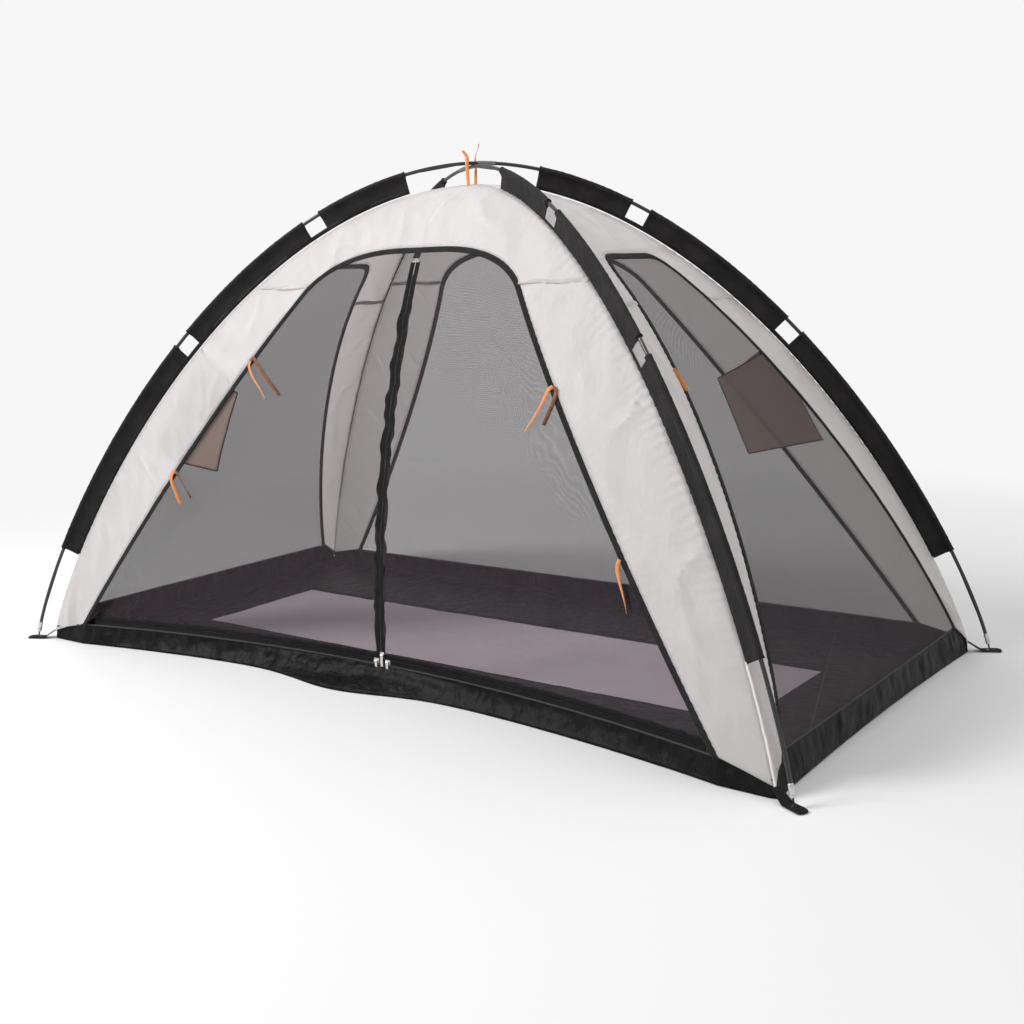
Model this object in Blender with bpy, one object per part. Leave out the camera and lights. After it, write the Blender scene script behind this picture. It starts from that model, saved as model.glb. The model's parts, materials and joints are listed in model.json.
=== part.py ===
"""A mosquito net tent: two crossed bent poles carry a netted canopy over a bathtub floor.

The long side lies along X, the door faces -Y, and the ground is Z = 0.
Lengths are in metres. A name that ends in SHARE or SHARES is a plain ratio.
"""

from math import cos, exp, hypot, pi, sin, sqrt

import bmesh
import bpy
import numpy as np
from mathutils import Vector

# Size of the bent poles
FOOT_HALF_LENGTH = 1.010
FOOT_HALF_WIDTH = 0.520
CROWN_HEIGHT = 1.098
ARCH_RISE_SHARE = 1.236
ARCH_SPREAD_SHARE = 1.901

# Pole sections and what is inside them
SECTION_COUNT = 6
POLE_RADIUS = 0.00395
POLE_BORE_RADIUS = 0.0022
SHOCK_CORD_RADIUS = 0.00125
FERRULE_RADIUS = 0.0049
FERRULE_REACH = 0.020
CROWN_JOINT_SHIFT = 0.035
POLE_END_HEIGHT = 0.020
TIP_CAP_LENGTH = 0.022
TIP_CAP_RADIUS = 0.0052
TIP_WALL = 0.0016
PIN_RADIUS = 0.0020
PIN_END_HEIGHT = 0.0012
STATION_SPACING = 0.170
TUBE_SIDES = 6

# Clearances
FIT_GAP = 0.0004
SEAM_GAP = 0.0004
DOOR_NET_EASE = 0.0005
FLOOR_GAP = 0.0003

# Pole sleeves: heights of their ends as shares of the crown height
SLEEVE_FOOT_SHARE = 0.2085
LOWER_GAP_SHARE = 0.6611
UPPER_GAP_SHARE = 0.9012
SLEEVE_TOP_SHARE = 0.9823
SLEEVE_GAP_LENGTH = 0.045
SLEEVE_INNER_RADIUS = 0.0053
SLEEVE_WALL = 0.0008
SLEEVE_TAIL_THICKNESS = 0.0012
RIDGE_STRIP_WIDTH = 0.004
RIDGE_OFFSET = 0.042
RIDGE_STRIP_OVERREACH = 0.0001

# Canopy cloth
CLOTH_THICKNESS = 0.0008
RIDGE_SEAM_ALLOWANCE = 0.0013
CANOPY_FOOT_HEIGHT = 0.033
CANOPY_CROWN_RADIUS = 0.006
BINDING_WIDTH = 0.011
BINDING_THICKNESS = 0.0022
BINDING_PROUD = 0.0007

# Door and back windows: half widths and heights of their outline
LONG_WINDOW_FOOT_HALF = 0.860
LONG_WINDOW_FOOT_HEIGHT = 0.050
LONG_WINDOW_SHOULDER_HALF = 0.300
LONG_WINDOW_SHOULDER_HEIGHT = 0.830
LONG_WINDOW_TOP_HEIGHT = 0.919
LONG_WINDOW_FLAT_HALF = 0.060
LONG_WINDOW_CORNER_REACH = 0.085

# End windows
END_WINDOW_FOOT_HALF = 0.447
END_WINDOW_FOOT_HEIGHT = 0.064
END_WINDOW_SHOULDER_HALF = 0.136
END_WINDOW_SHOULDER_HEIGHT = 0.830
END_WINDOW_TOP_HEIGHT = 0.893
END_WINDOW_FLAT_HALF = 0.070
END_WINDOW_CORNER_REACH = 0.040

# How far the netting is drawn inwards between its edges
BACK_SAG = 0.050
END_SAG = 0.030

# Door zips
ZIP_HEIGHT = 0.060
ZIP_TOP_HEIGHT = 0.900
ZIP_FOOT_DEPTH = 0.373
ZIP_TAPE_WIDTH = 0.011
ZIP_TAPE_THICKNESS = 0.0012
ZIP_HALF_GAP = 0.0016
DOOR_HINGE_GAP = 0.0008
DOOR_HINGE_FOOT_HALF = 0.842

# Zip sliders and pulls
SLIDER_LENGTH = 0.014
SLIDER_PLATE = 0.0010
SLIDER_POST = 0.0006
SLIDER_COVER = 0.0100
SLIDER_CLEARANCE = 0.0003
PULL_LENGTH = 0.026
PULL_WIDTH = 0.0065
BAIL_RADIUS = 0.0008

# Tub floor
TUB_THICKNESS = 0.0010
TUB_HALF_LENGTH = 0.972
TUB_HALF_WIDTH = 0.500
TUB_CORNER_HEIGHT = 0.030
TUB_CORNER_INSET = 0.004
TUB_FRONT_FOLD_HEIGHT = 0.030
TUB_FRONT_FLARE = 0.022
TUB_END_BOW = 0.012
BELLY_DEPTH = 0.050
BELLY_HALF_LENGTH = 0.170
BELLY_OFFSET = 0.080
FLOOR_PANEL_HALF_LENGTH = 0.753
FLOOR_PANEL_HALF_WIDTH = 0.182
FLOOR_PANEL_THICKNESS = 0.0010

# Corner tabs
TAB_WIDTH = 0.024
TAB_THICKNESS = 0.0020
TAB_REACH = 0.026
TAB_LIFT = 0.0006
EYELET_RADIUS = 0.0034

# Storage pockets
POCKET_THICKNESS = 0.0016
POCKET_STANDOFF = 0.0026

# Ribbon ties
TIE_WIDTH = 0.008
TIE_STEP_SHARE = 1.5
ROUTE_STEPS = 12
TIE_ROUTES = {
    "door_tie_left_upper": [
        (-0.355, -0.326, 0.599), (-0.370, -0.327, 0.623), (-0.389, -0.327, 0.647), (-0.401, -0.325, 0.670),
        (-0.402, -0.3193, 0.682), (-0.394, -0.317, 0.688), (-0.384, -0.319, 0.681), (-0.371, -0.319, 0.665),
        (-0.343, -0.318, 0.633), (-0.320, -0.315, 0.607),
    ],
    "door_tie_left_lower": [
        (-0.571, -0.407, 0.356), (-0.580, -0.412, 0.385), (-0.587, -0.416, 0.411), (-0.588, -0.4108, 0.426),
        (-0.580, -0.4088, 0.432), (-0.570, -0.409, 0.424), (-0.563, -0.406, 0.408), (-0.554, -0.401, 0.388),
        (-0.545, -0.397, 0.370),
    ],
    "door_tie_right_upper": [
        (0.362, -0.331, 0.558), (0.383, -0.336, 0.581), (0.403, -0.339, 0.605), (0.416, -0.338, 0.627),
        (0.424, -0.3348, 0.642), (0.432, -0.3326, 0.647), (0.440, -0.3347, 0.640), (0.440, -0.3425, 0.622),
        (0.430, -0.347, 0.597), (0.418, -0.347, 0.575),
    ],
    "door_tie_right_lower": [
        (0.634, -0.4318, 0.354), (0.629, -0.432, 0.338), (0.633, -0.433, 0.317), (0.640, -0.434, 0.295),
        (0.645, -0.433, 0.273), (0.647, -0.432, 0.257),
    ],
    "end_window_tie": [
        (0.620, -0.205, 0.6745), (0.6305, -0.208, 0.663), (0.642, -0.212, 0.6495), (0.654, -0.214, 0.636),
    ],
    "crown_tie_front": [
        (0.002, -0.016, 1.0526), (0.001, -0.016, 1.078), (-0.001, -0.015, 1.098), (-0.003, -0.011, 1.110),
        (-0.008, -0.008, 1.119), (-0.018, -0.007, 1.130),
    ],
    "crown_tie_back": [
        (-0.002, 0.016, 1.0526), (-0.001, 0.016, 1.078), (0.001, 0.015, 1.098), (0.003, 0.011, 1.110),
        (0.007, 0.008, 1.120), (0.014, 0.007, 1.132), (0.019, 0.005, 1.142),
    ],
}


def clear_scene():
    """Remove whatever the scene holds."""
    for thing in list(bpy.data.objects):
        bpy.data.objects.remove(thing, do_unlink=True)


def material(name, colour, roughness, metallic=0.0, alpha=1.0):
    """A Principled material with plain values."""
    made = bpy.data.materials.new(name)
    made.use_nodes = True
    shader = made.node_tree.nodes["Principled BSDF"]
    shader.inputs["Base Color"].default_value = (*colour, 1.0)
    shader.inputs["Roughness"].default_value = roughness
    shader.inputs["Metallic"].default_value = metallic
    shader.inputs["Alpha"].default_value = alpha
    made.diffuse_color = (*colour, alpha)
    return made


def add_mesh(name, points, faces, finish, parent=None):
    """A closed mesh object with outward faces, placed relative to its parent."""
    mesh = bpy.data.meshes.new(name)
    shift = parent.location if parent else Vector((0, 0, 0))
    mesh.from_pydata([Vector(p) - shift for p in points], [], faces)
    work = bmesh.new()
    work.from_mesh(mesh)
    bmesh.ops.recalc_face_normals(work, faces=work.faces)
    work.to_mesh(mesh)
    work.free()
    mesh.materials.append(finish)
    made = bpy.data.objects.new(name, mesh)
    bpy.context.scene.collection.objects.link(made)
    made.parent = parent
    return made


def axis_empty(name, place, parent=None):
    """An empty on a joint's axis, which carries the moving pieces."""
    made = bpy.data.objects.new(name, None)
    made.location = Vector(place) - (parent.location if parent else Vector((0, 0, 0)))
    bpy.context.scene.collection.objects.link(made)
    made.parent = parent
    return made


def thick_sheet(points, faces, offsets):
    """Points and faces of a solid between an open skin and its offset copy."""
    count = len(points)
    both = [Vector(p) for p in points] + [Vector(p) + Vector(o) for p, o in zip(points, offsets)]
    skin = [tuple(f) for f in faces]
    back = [tuple(i + count for i in reversed(f)) for f in faces]
    used = {}
    for face in faces:
        for a, b in zip(face, face[1:] + face[:1]):
            used[(a, b)] = used.get((a, b), 0) + 1
    rim = [(b, a, a + count, b + count) for (a, b) in used if (b, a) not in used]
    return both, skin + back + rim


def grid_faces(rows, columns, wrap=False):
    """Triangles of a grid of points stored row after row, so that both skins of a sheet fold alike."""
    faces = []
    for i in range(rows if wrap else rows - 1):
        for k in range(columns - 1):
            here = i * columns + k
            after = (i + 1) % rows * columns + k
            faces += [[here, after, after + 1], [here, after + 1, here + 1]]
    return faces


def grid_inward(grid, depth, centre, wrap=False):
    """Offsets of a grid of points along its normals, towards a point inside the tent."""
    rows, columns = len(grid), len(grid[0])
    offsets = []
    for i in range(rows):
        before = (i - 1) % rows if wrap else max(i - 1, 0)
        after = (i + 1) % rows if wrap else min(i + 1, rows - 1)
        for k in range(columns):
            along = grid[after][k] - grid[before][k]
            across = grid[i][min(k + 1, columns - 1)] - grid[i][max(k - 1, 0)]
            offsets.append(along.cross(across).normalized() * depth)
    flat = [p for row in grid for p in row]
    facing = sum(offset.dot(centre - p) for offset, p in zip(offsets, flat))
    return [offset * (1 if facing > 0 else -1) for offset in offsets]


INSIDE = Vector((0, 0, CROWN_HEIGHT / 3))


def sheet(name, grid, thickness, finish, parent=None, proud=0.0, wrap=False, inside=INSIDE):
    """A cloth solid whose outer skin is the grid, raised by proud."""
    flat = [p for row in grid for p in row]
    units = grid_inward(grid, 1.0, inside, wrap)
    outer = [p - u * proud for p, u in zip(flat, units)]
    points, faces = thick_sheet(outer, grid_faces(len(grid), len(grid[0]), wrap), [u * thickness for u in units])
    return add_mesh(name, points, faces, finish, parent)


# Arch: the curve that both poles follow
FOOT_DIAGONAL = hypot(FOOT_HALF_LENGTH, FOOT_HALF_WIDTH)
LENGTH_SHARE = FOOT_HALF_LENGTH / FOOT_DIAGONAL
WIDTH_SHARE = FOOT_HALF_WIDTH / FOOT_DIAGONAL
CURVE_STEPS = 2000


def arch_curve():
    """Fine points (u, z) of the arch from foot to foot, and their length along it."""
    turn = np.linspace(0, pi, CURVE_STEPS + 1)
    u = FOOT_DIAGONAL * np.sign(np.cos(turn)) * np.abs(np.cos(turn)) ** (2 / ARCH_SPREAD_SHARE)
    z = CROWN_HEIGHT * np.clip(np.sin(turn), 0, 1) ** (2 / ARCH_RISE_SHARE)
    run = np.concatenate([[0], np.cumsum(np.hypot(np.diff(u), np.diff(z)))])
    return u, z, run


CURVE_U, CURVE_Z, CURVE_RUN = arch_curve()
ARCH_LENGTH = float(CURVE_RUN[-1])
HALF_STEPS = CURVE_STEPS // 2


def run_at_height(height):
    """Length along the arch from its foot to a height."""
    return float(np.interp(height, CURVE_Z[:HALF_STEPS + 1], CURVE_RUN[:HALF_STEPS + 1]))


def arch_point(run):
    """The arch's point (u, z) at a length along it."""
    return np.array([np.interp(run, CURVE_RUN, CURVE_U), np.interp(run, CURVE_RUN, CURVE_Z)])


def section_joints():
    """Lengths along the arch where one pole section meets the next."""
    start = run_at_height(POLE_END_HEIGHT)
    step = (ARCH_LENGTH - 2 * start) / SECTION_COUNT
    joints = [start + step * k for k in range(1, SECTION_COUNT)]
    middle = len(joints) // 2
    joints[middle] += CROWN_JOINT_SHIFT
    return joints


def sleeve_fins():
    """Start and end lengths of the three sleeve pieces on one half of a pole."""
    half_gap = SLEEVE_GAP_LENGTH / 2
    foot, low, high, top = [
        run_at_height(CROWN_HEIGHT * share)
        for share in (SLEEVE_FOOT_SHARE, LOWER_GAP_SHARE, UPPER_GAP_SHARE, SLEEVE_TOP_SHARE)
    ]
    return [(foot, low - half_gap), (low + half_gap, high - half_gap), (high + half_gap, top)]


def half_stations():
    """Shared lengths from one foot to the crown's edge, where everything on a pole has its rings."""
    end = run_at_height(POLE_END_HEIGHT)
    needed = [run_at_height(PIN_END_HEIGHT), end - TIP_WALL, end - FIT_GAP, end, end + TIP_CAP_LENGTH]
    needed += [run_at_ridge_height(CANOPY_FOOT_HEIGHT), run_at_crown_edge()]
    needed += [run for fin in sleeve_fins() for run in fin]
    for joint in section_joints()[:SECTION_COUNT // 2 - 1]:
        needed += [joint - FERRULE_REACH, joint, joint + FIT_GAP, joint + FERRULE_REACH]
    needed = sorted(needed)
    stations = needed[:1]
    for run in needed[1:]:
        pieces = max(1, round((run - stations[-1]) / STATION_SPACING))
        start = stations[-1]
        stations += [start + (run - start) * k / pieces for k in range(1, pieces + 1)]
    return stations


def pole_stations():
    """The shared lengths from foot to foot, with the crown joint's own."""
    half = half_stations()
    joint = section_joints()[SECTION_COUNT // 2 - 1]
    crown = [joint - FERRULE_REACH, joint, joint + FIT_GAP, joint + FERRULE_REACH]
    return sorted(half + crown + [ARCH_LENGTH - run for run in half])


def ridge_curve():
    """Fine points (u, z) of the seam where two canopy panels meet, below the pole."""
    du, dz = np.gradient(CURVE_U), np.gradient(CURVE_Z)
    length = np.hypot(du, dz)
    return CURVE_U - RIDGE_OFFSET * dz / length, CURVE_Z + RIDGE_OFFSET * du / length


RIDGE_U, RIDGE_Z = ridge_curve()


def run_at_crown_edge():
    """Length along the arch where the ridge seam comes to the crown hole's edge."""
    return float(np.interp(-CANOPY_CROWN_RADIUS, -RIDGE_U[:HALF_STEPS + 1], CURVE_RUN[:HALF_STEPS + 1]))


def run_at_ridge_height(height):
    """Length along the arch from its foot to where the ridge seam is at a height."""
    return float(np.interp(height, RIDGE_Z[1:HALF_STEPS], CURVE_RUN[1:HALF_STEPS]))


def ridge_point(run):
    """The ridge seam's point (u, z) below an arch length."""
    return np.array([np.interp(run, CURVE_RUN, RIDGE_U), np.interp(run, CURVE_RUN, RIDGE_Z)])


def ridge_stations():
    """The stations that the canopy's cloth takes, without the narrow gap at each pole joint."""
    foot = run_at_ridge_height(CANOPY_FOOT_HEIGHT)
    runs = [run for run in half_stations() if run >= foot]
    return runs[:1] + [b for a, b in zip(runs, runs[1:]) if b - a > 2 * FIT_GAP]


def ridge_half(height):
    """Distance of the ridge seam from the tent's axis at a height."""
    rising = slice(1, HALF_STEPS)
    return float(np.interp(height, RIDGE_Z[rising], RIDGE_U[rising]))


class Pole:
    """One pole's plane, its shared stations and the frames on them."""

    def __init__(self, name, side, lift):
        self.name = name
        self.plan = Vector((side * LENGTH_SHARE, -WIDTH_SHARE, 0))
        self.across = Vector((0, 0, 1)).cross(self.plan)
        self.stretch = 1 + lift / CROWN_HEIGHT
        self.stations = pole_stations()
        self.flat = [arch_point(run) * np.array([1, self.stretch]) for run in self.stations]

    def index(self, run):
        """The station at an arch length."""
        return min(range(len(self.stations)), key=lambda i: abs(self.stations[i] - run))

    def place(self, flat):
        """A world point from its place (u, z) in the pole's plane."""
        return self.plan * float(flat[0]) + Vector((0, 0, float(flat[1])))

    def frame(self, i):
        """Centre and inward normal at a station, as points of the pole's plane."""
        before = self.flat[max(i - 1, 0)]
        after = self.flat[min(i + 1, len(self.flat) - 1)]
        back = self.flat[i] - before
        ahead = after - self.flat[i]
        along = sum(v / np.hypot(*v) for v in (back, ahead) if np.hypot(*v) > 0)
        along = along / np.hypot(*along)
        return self.flat[i], np.array([-along[1], along[0]])

    def ring_point(self, i, radius, turn):
        """A point round the pole at a station, turned from the inward side."""
        centre, inward = self.frame(i)
        flat = centre + inward * (radius * cos(turn))
        return self.place(flat) + self.across * (radius * sin(turn))

    def rings(self, profile):
        """Ring list (station, radius) that follows a profile of (length, radius) along the stations."""
        listed = []
        for (run_a, radius_a), (run_b, radius_b) in zip(profile, profile[1:]):
            a, b = self.index(run_a), self.index(run_b)
            listed.append((a, radius_a))
            step = 1 if b > a else -1
            if a != b and radius_a == radius_b:
                listed += [(i, radius_a) for i in range(a + step, b, step)]
        listed.append((self.index(profile[-1][0]), profile[-1][1]))
        return listed

    def turned(self, name, profile, finish, closed):
        """A solid turned round the pole's curve; closed joins the last ring to the first."""
        listed = self.rings(profile)[:-1] if closed else self.rings(profile)
        points = [
            self.ring_point(i, radius, 2 * pi * k / TUBE_SIDES)
            for i, radius in listed
            for k in range(TUBE_SIDES)
        ]
        faces = []
        count = len(listed)
        for r in range(count if closed else count - 1):
            s = (r + 1) % count
            for k in range(TUBE_SIDES):
                m = (k + 1) % TUBE_SIDES
                faces.append([r * TUBE_SIDES + k, r * TUBE_SIDES + m, s * TUBE_SIDES + m, s * TUBE_SIDES + k])
        if not closed:
            faces.append(list(range(TUBE_SIDES)))
            faces.append([(count - 1) * TUBE_SIDES + k for k in range(TUBE_SIDES)])
        return add_mesh(name, points, faces, finish)


POLE_LIFT = POLE_RADIUS + FIT_GAP / 2
SOCKET_RADIUS = POLE_RADIUS + FIT_GAP


def section_profile(k, joints):
    """Outline of one hollow section: its plain ends, and a ferrule where it holds the next one."""
    foot = run_at_height(POLE_END_HEIGHT)
    ends = [foot] + joints + [ARCH_LENGTH - foot]
    a, b = ends[k], ends[k + 1]
    crown_section = SECTION_COUNT // 2
    profile = []
    if k > crown_section:
        profile += [
            (a, SOCKET_RADIUS),
            (a - FERRULE_REACH, SOCKET_RADIUS),
            (a - FERRULE_REACH, FERRULE_RADIUS),
            (a + FERRULE_REACH, FERRULE_RADIUS),
            (a + FERRULE_REACH, POLE_RADIUS),
        ]
        begin = a
    else:
        begin = a if k == 0 else a + FIT_GAP
        profile.append((begin, POLE_RADIUS))
    if k < crown_section:
        profile += [
            (b - FERRULE_REACH, POLE_RADIUS),
            (b - FERRULE_REACH, FERRULE_RADIUS),
            (b + FERRULE_REACH, FERRULE_RADIUS),
            (b + FERRULE_REACH, SOCKET_RADIUS),
            (b, SOCKET_RADIUS),
        ]
        finish = b
    else:
        finish = b if k == SECTION_COUNT - 1 else b - FIT_GAP
        profile.append((finish, POLE_RADIUS))
    return [(begin, POLE_BORE_RADIUS)] + profile + [(finish, POLE_BORE_RADIUS), (begin, POLE_BORE_RADIUS)]


def build_pole(pole, tips, finishes):
    """The sections with their ferrules, the two tips and the shock cord inside."""
    foot = run_at_height(POLE_END_HEIGHT)
    joints = section_joints()
    for k in range(SECTION_COUNT):
        pole.turned(f"{pole.name}_section_{k + 1}", section_profile(k, joints), finishes["pole"], closed=True)
    for end, flip in zip(tips, (False, True)):
        profile = [
            (run_at_height(PIN_END_HEIGHT), PIN_RADIUS),
            (foot - TIP_WALL, PIN_RADIUS),
            (foot - TIP_WALL, TIP_CAP_RADIUS),
            (foot + TIP_CAP_LENGTH, TIP_CAP_RADIUS),
            (foot + TIP_CAP_LENGTH, SOCKET_RADIUS),
            (foot - FIT_GAP, SOCKET_RADIUS),
        ]
        if flip:
            profile = [(ARCH_LENGTH - run, radius) for run, radius in profile]
        pole.turned(f"pole_tip_{end}", profile, finishes["metal"], closed=False)
    cord = [(foot, SHOCK_CORD_RADIUS), (ARCH_LENGTH - foot, SHOCK_CORD_RADIUS)]
    pole.turned(f"{pole.name}_shock_cord", cord, finishes["shock_cord"], closed=False)


def build_sleeve(pole, far, name, finish):
    """One arm's pole sleeve: three cloth tubes with tails, joined along the ridge seam."""
    fins = sleeve_fins()
    runs = [(b, a) for a, b in fins] if far else fins
    pairs = [tuple(pole.index(ARCH_LENGTH - run if far else run) for run in pair) for pair in runs]
    low = min(i for pair in pairs for i in pair)
    high = max(i for pair in pairs for i in pair)
    outer = SLEEVE_INNER_RADIUS + SLEEVE_WALL
    half_tail = SLEEVE_TAIL_THICKNESS / 2
    points = []
    for i in range(low, high + 1):
        centre, inward = pole.frame(i)
        seam = ridge_point(pole.stations[i]) + inward * RIDGE_STRIP_OVERREACH
        strip = seam - inward * RIDGE_STRIP_WIDTH
        root = centre + inward * outer
        points += [pole.ring_point(i, outer, 2 * pi * k / TUBE_SIDES) for k in range(1, TUBE_SIDES)]
        points += [pole.place(root) + pole.across * side * half_tail for side in (1, -1)]
        points += [pole.ring_point(i, SLEEVE_INNER_RADIUS, 2 * pi * k / TUBE_SIDES) for k in range(TUBE_SIDES)]
        points += [pole.place(strip) + pole.across * side * half_tail for side in (1, -1)]
        points += [pole.place(seam) + pole.across * side * half_tail for side in (1, -1)]
    ring = list(range(TUBE_SIDES - 1))
    root_a, root_b = TUBE_SIDES - 1, TUBE_SIDES
    bore = [TUBE_SIDES + 1 + k for k in range(TUBE_SIDES)]
    strip_a, strip_b = bore[-1] + 1, bore[-1] + 2
    seam_a, seam_b = bore[-1] + 3, bore[-1] + 4
    size = seam_b + 1
    skin = [strip_a, root_a] + ring + [root_b, strip_b]
    edge = [strip_a, seam_a, seam_b, strip_b]
    faces = []

    def cap(step):
        base = step * size
        around = [root_a] + ring + [root_b]
        inner = bore + [bore[0]]
        cells = [[around[k], around[k + 1], inner[k + 1], inner[k]] for k in range(TUBE_SIDES)]
        cells += [[root_b, root_a, bore[0]], [root_a, root_b, strip_b, strip_a]]
        faces.extend([[base + v for v in cell] for cell in cells])

    def walls(step, path):
        base = step * size
        for a, b in zip(path, path[1:]):
            faces.append([base + a, base + b, base + size + b, base + size + a])

    def sewn(step):
        return any(min(pair) <= low + step < max(pair) for pair in pairs)

    last = high - low
    for step in range(last):
        walls(step, edge)
        if sewn(step):
            walls(step, skin)
            walls(step, bore + [bore[0]])
        else:
            walls(step, [strip_b, strip_a])
    for step in range(last + 1):
        before = step > 0 and sewn(step - 1)
        after = step < last and sewn(step)
        if before != after:
            cap(step)
    for step in (0, last):
        faces.append([step * size + v for v in (strip_a, seam_a, seam_b, strip_b)])
    add_mesh(name, points, faces, finish)


class Window:
    """Half outline of a window in a canopy panel, from its foot to its flat top."""

    def __init__(self, foot, shoulder, top_height, flat_half, corner_reach):
        self.foot = np.array(foot)
        self.shoulder = np.array(shoulder)
        self.top = np.array([flat_half, top_height])
        rise = self.shoulder - self.foot
        self.handle_low = self.shoulder + rise / np.hypot(*rise) * corner_reach
        self.handle_top = self.top + np.array([corner_reach, 0])

    def corner(self, share):
        """The rounded corner, from the shoulder to the flat top."""
        left = 1 - share
        return (
            left ** 3 * self.shoulder
            + 3 * left ** 2 * share * self.handle_low
            + 3 * left * share ** 2 * self.handle_top
            + share ** 3 * self.top
        )

    def outline(self, runs):
        """One outline point for each ridge station."""
        shoulder_run = run_at_ridge_height(float(self.shoulder[1]))
        points = []
        for run in runs:
            if run <= shoulder_run:
                share = (ridge_point(run)[1] - ridge_point(runs[0])[1])
                share /= self.shoulder[1] - ridge_point(runs[0])[1]
                points.append(self.foot + (self.shoulder - self.foot) * share)
            else:
                points.append(self.corner((run - shoulder_run) / (runs[-1] - shoulder_run)))
        return points


def inset(outline, distance):
    """The outline moved towards the window's middle; its foot stays at its height."""
    moved = []
    for i, point in enumerate(outline):
        along = outline[min(i + 1, len(outline) - 1)] - outline[max(i - 1, 0)]
        along = along / np.hypot(*along)
        moved.append(point + distance * np.array([-along[1], along[0]]))
    moved[0] = np.array([moved[0][0], outline[0][1]])
    return moved


LONG_WINDOW = Window(
    (LONG_WINDOW_FOOT_HALF, LONG_WINDOW_FOOT_HEIGHT),
    (LONG_WINDOW_SHOULDER_HALF, LONG_WINDOW_SHOULDER_HEIGHT),
    LONG_WINDOW_TOP_HEIGHT,
    LONG_WINDOW_FLAT_HALF,
    LONG_WINDOW_CORNER_REACH,
)
END_WINDOW = Window(
    (END_WINDOW_FOOT_HALF, END_WINDOW_FOOT_HEIGHT),
    (END_WINDOW_SHOULDER_HALF, END_WINDOW_SHOULDER_HEIGHT),
    END_WINDOW_TOP_HEIGHT,
    END_WINDOW_FLAT_HALF,
    END_WINDOW_CORNER_REACH,
)


class Panel:
    """One side of the canopy: level lines run straight across between its two ridges."""

    def __init__(self, name, window):
        self.name = name
        self.window = window
        self.on_long_side = name in ("front", "back")
        self.outward = 1 if name in ("back", "right") else -1
        self.runs = ridge_stations()

    def point(self, across, height, sag=0.0):
        """A world point from its place across the panel and its height."""
        reach = ridge_half(height)
        if self.on_long_side:
            return Vector((across, self.outward * (WIDTH_SHARE * reach - sag), height))
        return Vector((self.outward * (LENGTH_SHARE * reach - sag), across, height))

    def ridge(self):
        """Outer edge of the cloth, just inside the ridge seam."""
        share = LENGTH_SHARE if self.on_long_side else WIDTH_SHARE
        places = [ridge_point(run) for run in self.runs]
        return [np.array([share * u - RIDGE_SEAM_ALLOWANCE, z]) for u, z in places]

    def strip(self, outer, inner, columns):
        """Grid of a band that runs up one side of the window, over its top and down the other."""
        rows = []
        for side in (self.outward, -self.outward):
            half = []
            for a, b in zip(outer, inner):
                row = []
                for k in range(columns):
                    across, height = a + (b - a) * k / (columns - 1)
                    row.append(self.point(side * across, height))
                half.append(row)
            rows += half if side == self.outward else half[::-1]
        return rows

    def build_band(self, finish):
        """The beige cloth between the ridges and the window."""
        outline = self.window.outline(self.runs)
        sheet(f"{self.name}_canopy_panel", self.strip(self.ridge(), outline, 3), CLOTH_THICKNESS, finish)

    def build_binding(self, finish):
        """The tape sewn round the window's edge."""
        outline = self.window.outline(self.runs)
        outer = inset(outline, SEAM_GAP)
        inner = inset(outline, BINDING_WIDTH)
        grid = self.strip(outer, inner, 2)
        sheet(f"{self.name}_window_binding", grid, BINDING_THICKNESS, finish, proud=BINDING_PROUD)

    def net_edge(self):
        """Half outline of the netting inside the binding."""
        return inset(self.window.outline(self.runs), BINDING_WIDTH + SEAM_GAP)

    def build_net(self, sag, finish):
        """The netting of a window without a door."""
        edge = self.net_edge()
        foot, top = edge[0][1], edge[-1][1]
        rows = []
        for half, height in edge:
            rise = (height - foot) / (top - foot)
            row = []
            for k in range(NET_COLUMNS + 1):
                share = 2 * k / NET_COLUMNS - 1
                inward = sag * (1 - share ** 2) * 4 * rise * (1 - rise)
                row.append(self.point(half * share, height, inward))
            rows.append(row)
        sheet(f"{self.name}_window_net", rows, CLOTH_THICKNESS, finish)


NET_COLUMNS = 6


# Door: the T-shaped zip and the two flaps beside it
def arc_radius(depth, half):
    """Radius of an arc of a given rise over a half length."""
    return (depth ** 2 + half ** 2) / (2 * depth)


ZIP_TOP_DEPTH = WIDTH_SHARE * ridge_half(ZIP_TOP_HEIGHT)
ZIP_ARC_RADIUS = arc_radius(ZIP_FOOT_DEPTH - ZIP_TOP_DEPTH, ZIP_TOP_HEIGHT - ZIP_HEIGHT)
SILL_END_DEPTH = WIDTH_SHARE * ridge_half(LONG_WINDOW_FOOT_HEIGHT) - TUB_CORNER_INSET
SILL_ARC_RADIUS = arc_radius(SILL_END_DEPTH - ZIP_FOOT_DEPTH, LONG_WINDOW_FOOT_HALF)
FRONT = Panel("front", LONG_WINDOW)


def sill_depth(across):
    """How far the lower zip lies in front of the tent's middle."""
    half = min(abs(across), LONG_WINDOW_FOOT_HALF)
    return ZIP_FOOT_DEPTH + SILL_ARC_RADIUS - sqrt(SILL_ARC_RADIUS ** 2 - half ** 2)


def zip_depth(height):
    """How far the upright zip lies in front of the tent's middle."""
    rise = height - ZIP_HEIGHT
    return ZIP_FOOT_DEPTH - ZIP_ARC_RADIUS + sqrt(ZIP_ARC_RADIUS ** 2 - rise ** 2)


def hinge_place(height):
    """Half distance and depth of a flap's straight fold line at a height."""
    share = (ZIP_TOP_HEIGHT - height) / (ZIP_TOP_HEIGHT - LONG_WINDOW_FOOT_HEIGHT)
    return DOOR_HINGE_FOOT_HALF * share, ZIP_TOP_DEPTH + (SILL_END_DEPTH - ZIP_TOP_DEPTH) * share


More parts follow.
